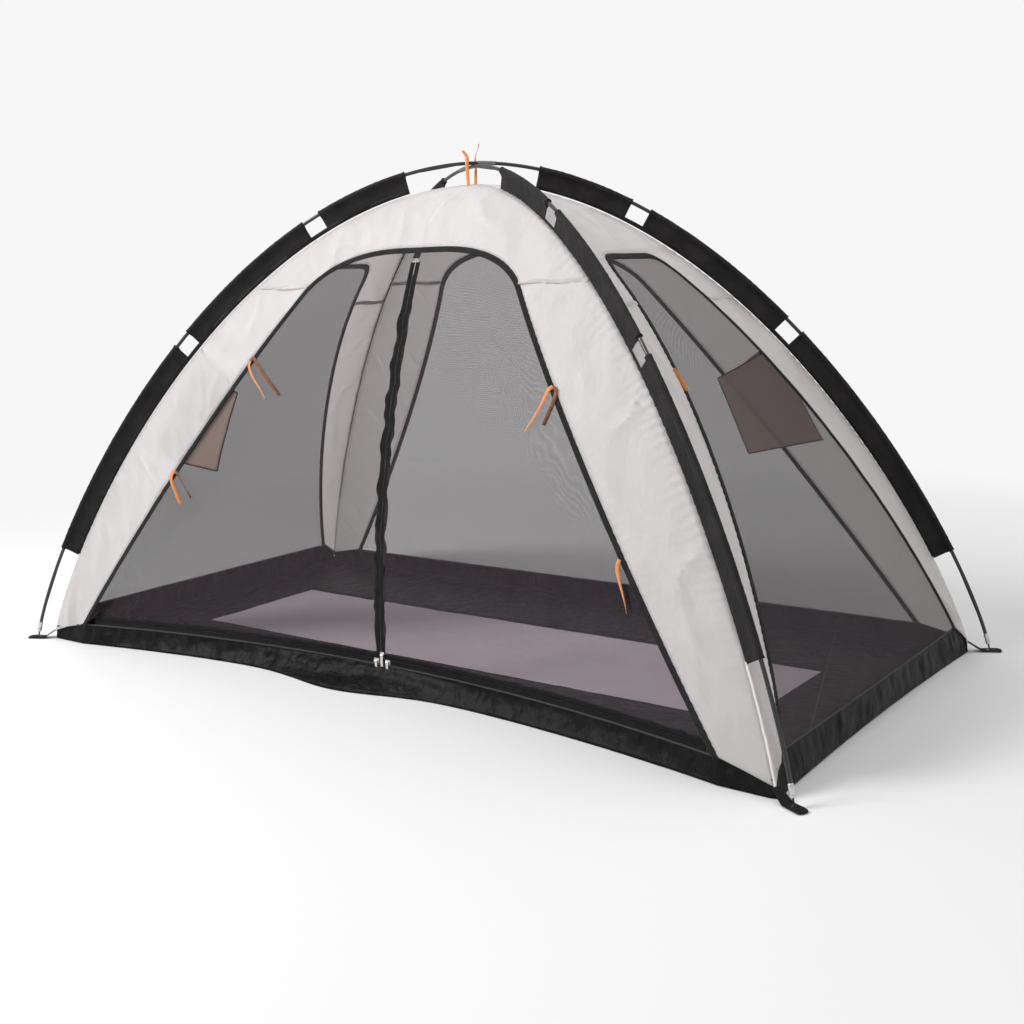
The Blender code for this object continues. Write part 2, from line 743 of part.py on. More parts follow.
def door_point(side, across, height):
    """A point of a door flap: ruled from the fold line to the zip, and bowed along the sill."""
    half, depth = hinge_place(height)
    share = across / half if half else 0
    ruled = zip_depth(height) + (depth - zip_depth(height)) * share
    sill_half, sill_end = hinge_place(ZIP_HEIGHT)
    line = ZIP_FOOT_DEPTH + (sill_end - ZIP_FOOT_DEPTH) * across / sill_half
    fade = (ZIP_TOP_HEIGHT - height) / (ZIP_TOP_HEIGHT - ZIP_HEIGHT)
    return Vector((side * across, -(ruled + (sill_depth(across) - line) * fade ** 2), height))


def build_fixed_door_net(finish):
    """The netting between the binding and the fold lines of the two flaps."""
    edge = inset(FRONT.net_edge(), DOOR_NET_EASE)
    foot, top = edge[0][1], edge[-1][1]
    rows = []
    for side in (-1, 1):
        half_rows = []
        for across, height in edge:
            low = foot + (height - foot) * (ZIP_TOP_HEIGHT + DOOR_HINGE_GAP - foot) / (top - foot)
            fold, depth = hinge_place(min(low, ZIP_TOP_HEIGHT))
            inner = Vector((side * (fold + DOOR_HINGE_GAP), -depth, low))
            outer = FRONT.point(side * across, height)
            half_rows.append([outer, outer.lerp(inner, 0.5), inner])
        rows += half_rows if side < 0 else half_rows[::-1]
    sheet("door_fixed_net", rows, CLOTH_THICKNESS, finish)


FLAP_ROWS = 12
FLAP_COLUMNS = 6
TAPE_STEP = 0.036
NET_TIP_WIDTH = 0.003


def build_flap_net(name, side, parent, finish):
    """The netting of one door flap."""
    edge = ZIP_HALF_GAP + ZIP_TAPE_WIDTH + SEAM_GAP
    foot = ZIP_HEIGHT + edge
    slope = (ZIP_TOP_HEIGHT - LONG_WINDOW_FOOT_HEIGHT) / DOOR_HINGE_FOOT_HALF
    top = ZIP_TOP_HEIGHT - (edge + DOOR_HINGE_GAP + NET_TIP_WIDTH) * slope
    rows = []
    for i in range(FLAP_ROWS + 1):
        height = foot + (top - foot) * i / FLAP_ROWS
        fold = hinge_place(height)[0] - DOOR_HINGE_GAP
        rows.append([
            door_point(side, fold + (edge - fold) * k / FLAP_COLUMNS, height)
            for k in range(FLAP_COLUMNS + 1)
        ])
    sheet(name, rows, CLOTH_THICKNESS, finish, parent)


def build_flap_tape(name, side, parent, finish):
    """The half of the upright zip and of the sill zip that one flap carries."""
    near, far = ZIP_HALF_GAP, ZIP_HALF_GAP + ZIP_TAPE_WIDTH
    tip = ZIP_TOP_HEIGHT - near - NET_TIP_WIDTH
    count = round((tip - ZIP_HEIGHT) / TAPE_STEP)
    grid = []
    for i in range(count):
        height = tip + (ZIP_HEIGHT + far - tip) * i / count
        outer = min(far, hinge_place(height)[0] - DOOR_HINGE_GAP)
        grid.append([Vector((side * across, -zip_depth(height), height)) for across in (near, outer)])
    grid.append([door_point(side, across, ZIP_HEIGHT + across) for across in (near, far)])
    end = hinge_place(ZIP_HEIGHT + far)[0] - DOOR_HINGE_GAP
    count = round(end / TAPE_STEP)
    for i in range(1, count + 1):
        across = far + (end - far) * i / count
        grid.append([door_point(side, across, ZIP_HEIGHT + rise) for rise in (near, far)])
    sheet(name, grid, ZIP_TAPE_THICKNESS, finish, parent)


def build_sill_tape(finish):
    """The lower half of the sill zip, which stays on the tub's front wall."""
    end = hinge_place(ZIP_HEIGHT)[0] - DOOR_HINGE_GAP
    count = 2 * round(end / TAPE_STEP)
    rows = []
    for i in range(count + 1):
        across = end * (2 * i / count - 1)
        depth = sill_depth(across)
        heights = (ZIP_HEIGHT - ZIP_HALF_GAP, ZIP_HEIGHT - ZIP_HALF_GAP - ZIP_TAPE_WIDTH)
        rows.append([Vector((across, -depth, height)) for height in heights])
    sheet("sill_zip_lower_tape", rows, ZIP_TAPE_THICKNESS, finish)


# Zip sliders: a channel over the tape's edge, an ear, and a pin that holds the pull
EYE_INNER_RADIUS = BAIL_RADIUS + SLIDER_CLEARANCE
EYE_WALL = 0.0010
EYE_OUTER_RADIUS = EYE_INNER_RADIUS + EYE_WALL
EAR_WIDTH = 0.0015
PIN_STANDOFF = SLIDER_CLEARANCE + SLIDER_PLATE + EYE_OUTER_RADIUS + SLIDER_CLEARANCE
CUTTER_OVERLAP = 0.0002


def prism(outline, axis_from, axis_to):
    """Points and faces of an outline, given as vectors, swept between two offsets."""
    count = len(outline)
    points = [p + axis_from for p in outline] + [p + axis_to for p in outline]
    faces = [[k, (k + 1) % count, count + (k + 1) % count, count + k] for k in range(count)]
    return points, faces + [list(range(count)), list(range(count, 2 * count))]


def join_solid(target, name, points, faces, finish, parent):
    """Union a further shape into an object through a hidden helper."""
    helper = add_mesh(name, points, faces, finish, parent)
    helper.hide_render = True
    helper.display_type = "WIRE"
    union = target.modifiers.new(name, "BOOLEAN")
    union.operation = "UNION"
    union.object = helper


def build_slider(name, base, cover, travel, ear_side, parent, finish):
    """A slider at base on the tape's edge line; cover points over the tape, travel along it."""
    out = Vector((0, -1, 0))
    front = SLIDER_CLEARANCE + SLIDER_PLATE
    rear = -ZIP_TAPE_THICKNESS - SLIDER_CLEARANCE - SLIDER_PLATE
    section = [
        (-SLIDER_POST, front), (SLIDER_COVER, front), (SLIDER_COVER, SLIDER_CLEARANCE),
        (SLIDER_POST, SLIDER_CLEARANCE), (SLIDER_POST, rear + SLIDER_PLATE),
        (SLIDER_COVER, rear + SLIDER_PLATE), (SLIDER_COVER, rear), (-SLIDER_POST, rear),
    ]
    outline = [base + cover * a + out * b for a, b in section]
    half = travel * SLIDER_LENGTH / 2
    slider = add_mesh(name, *prism(outline, -half, half), finish, parent)
    pin = pin_place(base, cover)
    ear_centre = pin + ear_side * (PULL_WIDTH / 2 + SLIDER_CLEARANCE + EAR_WIDTH / 2)
    reach = EYE_OUTER_RADIUS
    depth = PIN_STANDOFF - front + CUTTER_OVERLAP
    ear = [
        ear_centre + Vector((0, -reach, reach)), ear_centre + Vector((0, -reach, -reach)),
        ear_centre + Vector((0, depth, -reach)), ear_centre + Vector((0, depth, reach)),
    ]
    points, faces = prism(ear, -ear_side * EAR_WIDTH / 2, ear_side * EAR_WIDTH / 2)
    join_solid(slider, f"{name}_ear_cutter", points, faces, finish, parent)
    sides = 8
    round_pin = [
        ear_centre + Vector((0, BAIL_RADIUS * cos(2 * pi * k / sides), BAIL_RADIUS * sin(2 * pi * k / sides)))
        for k in range(sides)
    ]
    points, faces = prism(round_pin, Vector((0, 0, 0)), -ear_side * (PULL_WIDTH + EAR_WIDTH))
    join_solid(slider, f"{name}_pin_cutter", points, faces, finish, parent)
    return slider


def pin_place(base, cover):
    """Centre of the pull's pin in front of a slider."""
    return base + cover * SLIDER_COVER / 2 + Vector((0, -PIN_STANDOFF, 0))


def build_pull(name, pin, parent, finish):
    """A flat pull that hangs by its eye from the slider's pin."""
    sides = 8
    turns = [2 * pi * (k + 0.5) / sides - pi / 2 for k in range(sides)]
    eye_out = [(EYE_OUTER_RADIUS * cos(t), EYE_OUTER_RADIUS * sin(t)) for t in turns]
    eye_in = [(EYE_INNER_RADIUS * cos(t), EYE_INNER_RADIUS * sin(t)) for t in turns]
    foot = EYE_OUTER_RADIUS - PULL_LENGTH
    tongue = [(eye_out[0][0], foot), (eye_out[-1][0], foot)]
    flat = eye_out + eye_in + tongue
    count = len(flat)
    half = PULL_WIDTH / 2
    points = [pin + Vector((side * half, y, z)) for side in (-1, 1) for y, z in flat]
    low, high = 2 * sides, 2 * sides + 1
    cells = [[k, k + 1, sides + k + 1, sides + k] for k in range(sides - 1)]
    cells += [[sides - 1, 0, sides, 2 * sides - 1], [0, sides - 1, high, low]]
    faces = [[v + layer for v in cell] for cell in cells for layer in (0, count)]
    outer = [0] + list(range(1, sides)) + [high, low]
    for loop in (outer, list(range(sides, 2 * sides))):
        for a, b in zip(loop, loop[1:] + loop[:1]):
            faces.append([a, b, b + count, a + count])
    add_mesh(name, points, faces, finish, parent)


# Tub floor
TUB_SIDE_SHARES = (-1, -0.9, -0.8, -0.66, -0.52, -0.38, -0.25, -0.12, 0, 0.12, 0.25, 0.38, 0.52, 0.66, 0.8, 0.9)
TUB_END_SHARES = (-1, -0.91, -0.5, 0, 0.5, 0.91)
LONG_CORNER_HALF = LENGTH_SHARE * ridge_half(TUB_CORNER_HEIGHT) - TUB_CORNER_INSET
END_CORNER_HALF = WIDTH_SHARE * ridge_half(TUB_CORNER_HEIGHT) - TUB_CORNER_INSET


def wall_height(across, window_half, corner_half, height):
    """Top of the tub's wall: level under a window, and falling to the corners."""
    share = max(0, (abs(across) - window_half) / (corner_half - window_half))
    return height + (TUB_CORNER_HEIGHT - height) * share


def belly(across):
    """How far the loose cloth of the front wall bulges out beside the zip."""
    return BELLY_DEPTH * exp(-((across + BELLY_OFFSET) / BELLY_HALF_LENGTH) ** 2)


def front_wall(across):
    """Top, fold and foot of the tub's front wall at a place along the door."""
    top = ZIP_HEIGHT - ZIP_HALF_GAP - ZIP_TAPE_WIDTH - FLOOR_GAP
    height = wall_height(across, LONG_WINDOW_FOOT_HALF, LONG_CORNER_HALF, top)
    depth = sill_depth(across)
    past = max(0, (abs(across) - LONG_WINDOW_FOOT_HALF) / (LONG_CORNER_HALF - LONG_WINDOW_FOOT_HALF))
    depth += (END_CORNER_HALF - depth) * past
    level = 1 - min(1, abs(across) / LONG_CORNER_HALF) ** 2
    foot = depth + TUB_CORNER_INSET + TUB_FRONT_FLARE * level + belly(across)
    fold = TUB_FRONT_FOLD_HEIGHT * height / top
    return [Vector((across, -foot, 0)), Vector((across, -depth, fold)), Vector((across, -depth, height))]


def back_wall(across):
    """Top, fold and foot of the tub's back wall."""
    top = LONG_WINDOW_FOOT_HEIGHT - SEAM_GAP
    height = wall_height(across, LONG_WINDOW_FOOT_HALF, LONG_CORNER_HALF, top)
    depth = WIDTH_SHARE * ridge_half(height)
    level = min(1, abs(across) / LONG_CORNER_HALF)
    depth -= TUB_CORNER_INSET * level ** 4
    foot = Vector((across, TUB_HALF_WIDTH, 0))
    head = Vector((across, depth, height))
    return [foot, foot.lerp(head, 0.5), head]


def end_wall(across, side):
    """Top, fold and foot of an end wall."""
    top = END_WINDOW_FOOT_HEIGHT - SEAM_GAP
    height = wall_height(across, END_WINDOW_FOOT_HALF, END_CORNER_HALF, top)
    level = min(1, abs(across) / END_CORNER_HALF)
    reach = LENGTH_SHARE * ridge_half(height) - TUB_CORNER_INSET * level ** 4
    foot = Vector((side * (TUB_HALF_LENGTH - TUB_END_BOW * (1 - level ** 2)), across, 0))
    head = Vector((side * reach, across, height))
    return [foot, foot.lerp(head, 0.5), head]


def floor_side(half_x, half_y, sign_x, sign_y, share, along_x):
    """A point on a floor rectangle's edge."""
    if along_x:
        return Vector((half_x * share, sign_y * half_y, 0))
    return Vector((sign_x * half_x, half_y * share, 0))


def build_tub(finish):
    """The black bathtub floor round the light middle panel."""
    rows = []
    half_x, half_y = FLOOR_PANEL_HALF_LENGTH, FLOOR_PANEL_HALF_WIDTH
    for share in TUB_SIDE_SHARES:
        wall = front_wall(LONG_CORNER_HALF * share)
        rows.append([floor_side(half_x, half_y, 0, -1, share, True)] + wall)
    for share in TUB_END_SHARES:
        wall = end_wall(END_CORNER_HALF * share, 1)
        rows.append([floor_side(half_x, half_y, 1, 0, share, False)] + wall)
    for share in TUB_SIDE_SHARES:
        wall = back_wall(-LONG_CORNER_HALF * share)
        rows.append([floor_side(half_x, half_y, 0, 1, -share, True)] + wall)
    for share in TUB_END_SHARES:
        wall = end_wall(-END_CORNER_HALF * share, -1)
        rows.append([floor_side(half_x, half_y, -1, 0, -share, False)] + wall)
    rows = [[row[0], row[0].lerp(row[1], 0.5)] + row[1:] for row in rows]
    sheet("tub_floor", rows, TUB_THICKNESS, finish, wrap=True)


def build_floor_panel(finish):
    """The light cloth sewn into the middle of the tub."""
    x = FLOOR_PANEL_HALF_LENGTH - SEAM_GAP
    y = FLOOR_PANEL_HALF_WIDTH - SEAM_GAP
    corners = [Vector((-x, -y, 0)), Vector((x, -y, 0)), Vector((x, y, 0)), Vector((-x, y, 0))]
    points, faces = prism(corners, Vector((0, 0, 0)), Vector((0, 0, FLOOR_PANEL_THICKNESS)))
    add_mesh("floor_centre_panel", points, faces, finish)


def tab_edge(turn):
    """Where a ray from the eyelet meets the tab's outline."""
    half = TAB_WIDTH / 2
    reach = TAB_REACH if cos(turn) > 0 else half
    scale = min(reach / abs(cos(turn)), half / abs(sin(turn)))
    return scale * cos(turn), scale * sin(turn)


def build_tab(pole, far, name, finish):
    """A webbing tab from the tub's corner down to the eyelet round the pole's pin."""
    run = run_at_height(TAB_LIFT + TAB_THICKNESS / 2)
    place = pole.place(arch_point(ARCH_LENGTH - run if far else run))
    out = pole.plan * (-1 if far else 1)
    side = Vector((0, 0, 1)).cross(out)
    centre = Vector((place.x, place.y, TAB_LIFT))
    turns = [2 * pi * (k + 0.5) / EYELET_SIDES for k in range(EYELET_SIDES)]
    hole = [centre + out * EYELET_RADIUS * cos(t) + side * EYELET_RADIUS * sin(t) for t in turns]
    plate = [centre + out * tab_edge(t)[0] + side * tab_edge(t)[1] for t in turns]
    foot_u = hypot(TUB_HALF_LENGTH, TUB_HALF_WIDTH)
    top_u = hypot(LONG_CORNER_HALF, END_CORNER_HALF)
    sewn_u = foot_u + (top_u - foot_u) * TAB_SEWN_SHARE + FIT_GAP
    sewn = out * sewn_u + Vector((0, 0, TUB_CORNER_HEIGHT * TAB_SEWN_SHARE))
    top = [sewn + side * TAB_WIDTH / 2 * s * TAB_SEWN_SHARE for s in (1, -1)]
    points = hole + plate + top
    faces = [
        [k, (k + 1) % EYELET_SIDES, EYELET_SIDES + (k + 1) % EYELET_SIDES, EYELET_SIDES + k]
        for k in range(EYELET_SIDES)
    ]
    inner = EYELET_SIDES + EYELET_SIDES // 2
    faces.append([inner - 1, inner, 2 * EYELET_SIDES + 1, 2 * EYELET_SIDES])
    both, solid = thick_sheet(points, faces, [Vector((0, 0, TAB_THICKNESS))] * len(points))
    add_mesh(name, both, solid, finish)


EYELET_SIDES = 8
TAB_SEWN_SHARE = 0.6


# Storage pockets: corners as half places across the panel and heights
POCKET_RIDGE_TOP = (0.578, 0.682)
POCKET_NET_TOP = (0.432, 0.610)
POCKET_RIDGE_FOOT = (0.668, 0.474)
POCKET_NET_FOOT = (0.486, 0.432)
POCKET_ROWS = 5
POCKET_COLUMNS = 6


def inner_face(panel, across, height):
    """A point of the cloth or netting that a pocket lies against."""
    edge = panel.net_edge()
    heights = [p[1] for p in edge]
    half = float(np.interp(height, heights, [p[0] for p in edge]))
    if abs(across) >= half:
        return panel.point(across, height)
    if panel.name == "front":
        fold, depth = hinge_place(height)
        rim = -panel.point(half, height).y
        share = (half - abs(across)) / (half - fold)
        return Vector((across, -(rim + (depth - rim) * share), height))
    rise = (height - heights[0]) / (heights[-1] - heights[0])
    return panel.point(across, height, BACK_SAG * (1 - (across / half) ** 2) * 4 * rise * (1 - rise))


def build_pocket(name, panel, side, finish):
    """A flat pocket sewn along the ridge, hanging inside the panel."""
    rows = []
    for i in range(POCKET_ROWS + 1):
        down = i / POCKET_ROWS
        outer = np.array(POCKET_RIDGE_TOP) * (1 - down) + np.array(POCKET_RIDGE_FOOT) * down
        inner = np.array(POCKET_NET_TOP) * (1 - down) + np.array(POCKET_NET_FOOT) * down
        row = []
        for k in range(POCKET_COLUMNS + 1):
            across, height = outer + (inner - outer) * k / POCKET_COLUMNS
            row.append(inner_face(panel, side * across, height))
        rows.append(row)
    lie = BINDING_THICKNESS - BINDING_PROUD + POCKET_STANDOFF
    sheet(name, rows, POCKET_THICKNESS, finish, proud=-lie)


def build_door(finishes):
    """The flaps with their zip halves and the upright slider, and the sill's tape and sliders."""
    build_fixed_door_net(finishes["net"])
    foot = hinge_place(LONG_WINDOW_FOOT_HEIGHT)
    for side, name in ((-1, "left"), (1, "right")):
        flap = axis_empty(f"flap_{name}_axis", (side * foot[0], -foot[1], LONG_WINDOW_FOOT_HEIGHT))
        build_flap_net(f"door_flap_net_{name}", side, flap, finishes["net"])
        build_flap_tape(f"door_zip_tape_{name}", side, flap, finishes["zip"])
    build_sill_tape(finishes["zip"])
    east, down, up = Vector((1, 0, 0)), Vector((0, 0, -1)), Vector((0, 0, 1))
    height = ZIP_HEIGHT + ZIP_HALF_GAP + SLIDER_LENGTH / 2 + SLIDER_CLEARANCE
    bases = {
        "upright": (Vector((0, -zip_depth(height), height)), east, up, east),
        "sill_left": (sill_base(SILL_LEFT_REST), down, east, -east),
        "sill_right": (sill_base(SILL_RIGHT_REST), down, east, east),
    }
    for name, (base, cover, travel, ear_side) in bases.items():
        axis = axis_empty(f"slider_{name}_axis", base)
        build_slider(f"zip_slider_{name}", base, cover, travel, ear_side, axis, finishes["metal"])
        pin = pin_place(base, cover)
        swing = axis_empty(f"pull_{name}_axis", pin)
        build_pull(f"zip_pull_{name}", pin, swing, finishes["pull"])


SILL_LEFT_REST = -0.0115
SILL_RIGHT_REST = 0.0195


def sill_base(across):
    """Place of a sill slider on the edge line of the lower tape."""
    return Vector((across, -sill_depth(across), ZIP_HEIGHT))


def smooth_route(points, step):
    """Points about a step apart on a smooth curve through a route."""
    places = [Vector(p) for p in points]
    ends = [2 * places[0] - places[1]] + places + [2 * places[-1] - places[-2]]
    fine = []
    for before, a, b, after in zip(ends, ends[1:], ends[2:], ends[3:]):
        for k in range(ROUTE_STEPS):
            t = k / ROUTE_STEPS
            fine.append(0.5 * (
                2 * a + (b - before) * t
                + (2 * before - 5 * a + 4 * b - after) * t ** 2
                + (3 * a - before - 3 * b + after) * t ** 3
            ))
    fine.append(places[-1])
    length = sum((b - a).length for a, b in zip(fine, fine[1:]))
    count = max(2, round(length / step))
    route, run, target = [fine[0]], 0.0, length / count
    for a, b in zip(fine, fine[1:]):
        run += (b - a).length
        if run >= target and len(route) < count:
            route.append(b)
            target += length / count
    return route + [fine[-1]]


def build_tie(name, points, finish):
    """A ribbon tie as a tube along its route, as thick as the ribbon is wide."""
    route = smooth_route(points, TIE_WIDTH * TIE_STEP_SHARE)
    curve = bpy.data.curves.new(name, "CURVE")
    curve.dimensions = "3D"
    curve.bevel_depth = TIE_WIDTH / 2
    curve.bevel_resolution = 2
    curve.use_fill_caps = True
    spline = curve.splines.new("POLY")
    spline.points.add(len(route) - 1)
    for point, place in zip(spline.points, route):
        point.co = (*place, 1)
    curve.materials.append(finish)
    tie = bpy.data.objects.new(name, curve)
    bpy.context.scene.collection.objects.link(tie)


def build_finishes():
    """The materials of the tent's pieces."""
    return {
        "pole": material("pole_fibreglass", (0.03, 0.03, 0.035), 0.45),
        "metal": material("plated_metal", (0.70, 0.70, 0.72), 0.30, 1.0),
        "shock_cord": material("shock_cord", (0.06, 0.06, 0.06), 0.80),
        "sleeve": material("black_sleeve_cloth", (0.05, 0.045, 0.05), 0.60),
        "canopy": material("beige_canopy_cloth", (0.76, 0.70, 0.70), 0.60),
        "binding": material("black_binding_tape", (0.04, 0.04, 0.045), 0.70),
        "net": material("mosquito_net", (0.25, 0.23, 0.25), 0.80, 0.0, 0.5),
        "tub": material("black_tub_cloth", (0.03, 0.028, 0.03), 0.55),
        "floor": material("light_floor_cloth", (0.45, 0.40, 0.42), 0.75),
        "webbing": material("black_webbing", (0.02, 0.02, 0.02), 0.85),
        "zip": material("black_zip_tape", (0.02, 0.02, 0.022), 0.60),
        "pull": material("zip_pull_metal", (0.78, 0.72, 0.64), 0.35, 1.0),
        "pocket": material("pocket_net", (0.35, 0.32, 0.30), 0.80, 0.0, 0.8),
        "ribbon": material("orange_ribbon", (0.75, 0.30, 0.09), 0.60),
    }


def main():
    """Build the whole tent."""
    clear_scene()
    finishes = build_finishes()
    rising = Pole("pole_a", -1, POLE_LIFT)
    crossing = Pole("pole_b", 1, -POLE_LIFT)
    build_pole(rising, ("front_left", "back_right"), finishes)
    build_pole(crossing, ("front_right", "back_left"), finishes)
    arms = (
        ("front_left", rising, False),
        ("back_right", rising, True),
        ("front_right", crossing, False),
        ("back_left", crossing, True),
    )
    for name, pole, far in arms:
        build_sleeve(pole, far, f"pole_sleeve_{name}", finishes["sleeve"])
        build_tab(pole, far, f"corner_tab_{name}", finishes["webbing"])
    panels = (
        (FRONT, None),
        (Panel("back", LONG_WINDOW), BACK_SAG),
        (Panel("left", END_WINDOW), END_SAG),
        (Panel("right", END_WINDOW), END_SAG),
    )
    for panel, sag in panels:
        panel.build_band(finishes["canopy"])
        panel.build_binding(finishes["binding"])
        if sag is not None:
            panel.build_net(sag, finishes["net"])
    build_door(finishes)
    build_tub(finishes["tub"])
    build_floor_panel(finishes["floor"])
    build_pocket("storage_pocket_front_left", FRONT, -1, finishes["pocket"])
    build_pocket("storage_pocket_back_right", panels[1][0], 1, finishes["pocket"])
    for name, points in TIE_ROUTES.items():
        build_tie(name, points, finishes["ribbon"])


main()
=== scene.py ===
# %% [markdown]
# A mosquito net tent: two bowed poles cross at the crown, a pale cloth canopy
# hangs below them, and fine net fills the windows and the door.
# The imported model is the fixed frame. Everything soft in it is a plain solid,
# so each cloth, net, tape and ribbon is made here and stands for its solid.

# %% Load the frame
import json
from math import cos, hypot, pi, radians, sin

import bmesh
import bpy
import numpy as np
from mathutils import Matrix, Vector, noise

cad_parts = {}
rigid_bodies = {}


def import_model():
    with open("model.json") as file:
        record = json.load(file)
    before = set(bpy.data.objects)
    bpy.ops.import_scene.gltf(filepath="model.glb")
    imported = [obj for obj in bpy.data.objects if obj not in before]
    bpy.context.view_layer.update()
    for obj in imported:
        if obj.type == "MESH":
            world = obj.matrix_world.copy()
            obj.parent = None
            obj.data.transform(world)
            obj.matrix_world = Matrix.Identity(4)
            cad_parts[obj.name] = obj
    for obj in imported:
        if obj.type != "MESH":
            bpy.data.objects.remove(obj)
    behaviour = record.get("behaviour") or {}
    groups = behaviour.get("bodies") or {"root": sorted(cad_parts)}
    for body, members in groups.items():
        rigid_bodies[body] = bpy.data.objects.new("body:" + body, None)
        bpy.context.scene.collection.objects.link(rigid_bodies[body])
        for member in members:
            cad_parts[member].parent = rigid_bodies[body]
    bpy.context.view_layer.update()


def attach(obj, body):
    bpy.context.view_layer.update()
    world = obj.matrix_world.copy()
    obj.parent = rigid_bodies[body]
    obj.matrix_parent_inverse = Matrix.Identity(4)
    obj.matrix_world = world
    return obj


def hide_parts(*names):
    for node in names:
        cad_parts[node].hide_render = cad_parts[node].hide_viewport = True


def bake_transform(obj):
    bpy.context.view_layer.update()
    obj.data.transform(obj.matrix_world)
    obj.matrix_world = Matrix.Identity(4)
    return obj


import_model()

# %% [markdown]
# The camera stands in front of the right corner at tent height.

# %% Camera
FOCAL_PIXELS = 1324.6
PICTURE_PIXELS = 1024
SENSOR_WIDTH = 36
CAMERA_PLACE = Vector((1.8440, -2.3966, 0.8610))
CAMERA_LOOK = Vector((-0.5826, 0.7930, -0.1777)).normalized()
CAMERA_ROLL = radians(-1.70)


def build_camera():
    """A plain camera that looks along CAMERA_LOOK with a slight roll."""
    right = CAMERA_LOOK.cross(Vector((0, 0, 1))).normalized()
    up = right.cross(CAMERA_LOOK)
    rolled_right = right * cos(CAMERA_ROLL) + up * sin(CAMERA_ROLL)
    rolled_up = up * cos(CAMERA_ROLL) - right * sin(CAMERA_ROLL)
    lens = bpy.data.cameras.new("tent_camera")
    lens.sensor_width = SENSOR_WIDTH
    lens.lens = FOCAL_PIXELS * SENSOR_WIDTH / PICTURE_PIXELS
    camera = bpy.data.objects.new("tent_camera", lens)
    bpy.context.scene.collection.objects.link(camera)
    turn = Matrix((rolled_right, rolled_up, -CAMERA_LOOK)).transposed()
    camera.matrix_world = Matrix.Translation(CAMERA_PLACE) @ turn.to_4x4()
    bpy.context.scene.camera = camera


build_camera()

# %% [markdown]
# Both poles follow one bowed curve, a superellipse from foot to foot. The
# seams of the canopy run on the same curve, moved 42 mm in from it, and each
# wall is straight across between its two seams. A few functions of height
# and place therefore describe every cloth of the tent.

# %% Arch and ridge curves
FOOT_HALF_LENGTH = 1.010
FOOT_HALF_WIDTH = 0.520
CROWN_HEIGHT = 1.098
ARCH_RISE_SHARE = 1.236
ARCH_SPREAD_SHARE = 1.901
RIDGE_OFFSET = 0.042
CURVE_STEPS = 4000
FOOT_DIAGONAL = hypot(FOOT_HALF_LENGTH, FOOT_HALF_WIDTH)
LENGTH_SHARE = FOOT_HALF_LENGTH / FOOT_DIAGONAL
WIDTH_SHARE = FOOT_HALF_WIDTH / FOOT_DIAGONAL

turn = np.linspace(0, pi, CURVE_STEPS + 1)
CURVE_U = FOOT_DIAGONAL * np.sign(np.cos(turn)) * np.abs(np.cos(turn)) ** (2 / ARCH_SPREAD_SHARE)
CURVE_Z = CROWN_HEIGHT * np.clip(np.sin(turn), 0, 1) ** (2 / ARCH_RISE_SHARE)
CURVE_RUN = np.concatenate([[0], np.cumsum(np.hypot(np.diff(CURVE_U), np.diff(CURVE_Z)))])
ARCH_LENGTH = float(CURVE_RUN[-1])
HALF = CURVE_STEPS // 2
step_u, step_z = np.gradient(CURVE_U), np.gradient(CURVE_Z)
step_length = np.hypot(step_u, step_z)
INWARD_U, INWARD_Z = -step_z / step_length, step_u / step_length
RIDGE_U = CURVE_U + RIDGE_OFFSET * INWARD_U
RIDGE_Z = CURVE_Z + RIDGE_OFFSET * INWARD_Z


def run_at_height(height):
    """Length along the arch at a height of the pole."""
    return float(np.interp(height, CURVE_Z[:HALF + 1], CURVE_RUN[:HALF + 1]))


def ridge_half(height):
    """Distance of the seam from the middle, in the pole's plane."""
    return np.interp(height, RIDGE_Z[1:HALF], RIDGE_U[1:HALF])


print("arch length", round(ARCH_LENGTH, 3), "m")

# %% [markdown]
# Cloth is never perfectly even. One helper turns a grid of points into a thin
# closed cloth with its own UV map in metres, so that a weave keeps its size
# on every piece, and another gives soft noise that is the same each run. The
# rest say what a piece is: trim, or a stand-in for a solid.

# %% Sheets from grids
TENT_MIDDLE = np.array([0.0, 0.0, 0.35])
NOISE_SHIFT = (3.7, 1.9, 5.3)


def run_along(line):
    """Length from the start of a line to each of its points."""
    return np.concatenate([[0], np.cumsum(np.linalg.norm(np.diff(line, axis=0), axis=1))])


def grid_normals(grid):
    """Unit normals of a grid of points, turned away from the tent's middle."""
    rows, columns = np.gradient(grid, axis=0), np.gradient(grid, axis=1)
    normals = np.cross(rows, columns)
    normals /= np.maximum(np.linalg.norm(normals, axis=2, keepdims=True), 1e-12)
    facing = np.sum(normals * (grid - TENT_MIDDLE))
    return normals if facing > 0 else -normals


def grid_uv(grid):
    """UV of each grid point in metres along its row and column."""
    along = np.linalg.norm(np.diff(grid, axis=0), axis=2).mean(axis=1)
    across = np.linalg.norm(np.diff(grid, axis=1), axis=2)
    v = np.concatenate([[0], np.cumsum(along)])
    u = np.concatenate([np.zeros((len(grid), 1)), np.cumsum(across, axis=1)], axis=1)
    u -= u[:, -1:] / 2
    return np.stack([u, np.repeat(v[:, None], grid.shape[1], axis=1)], axis=2)


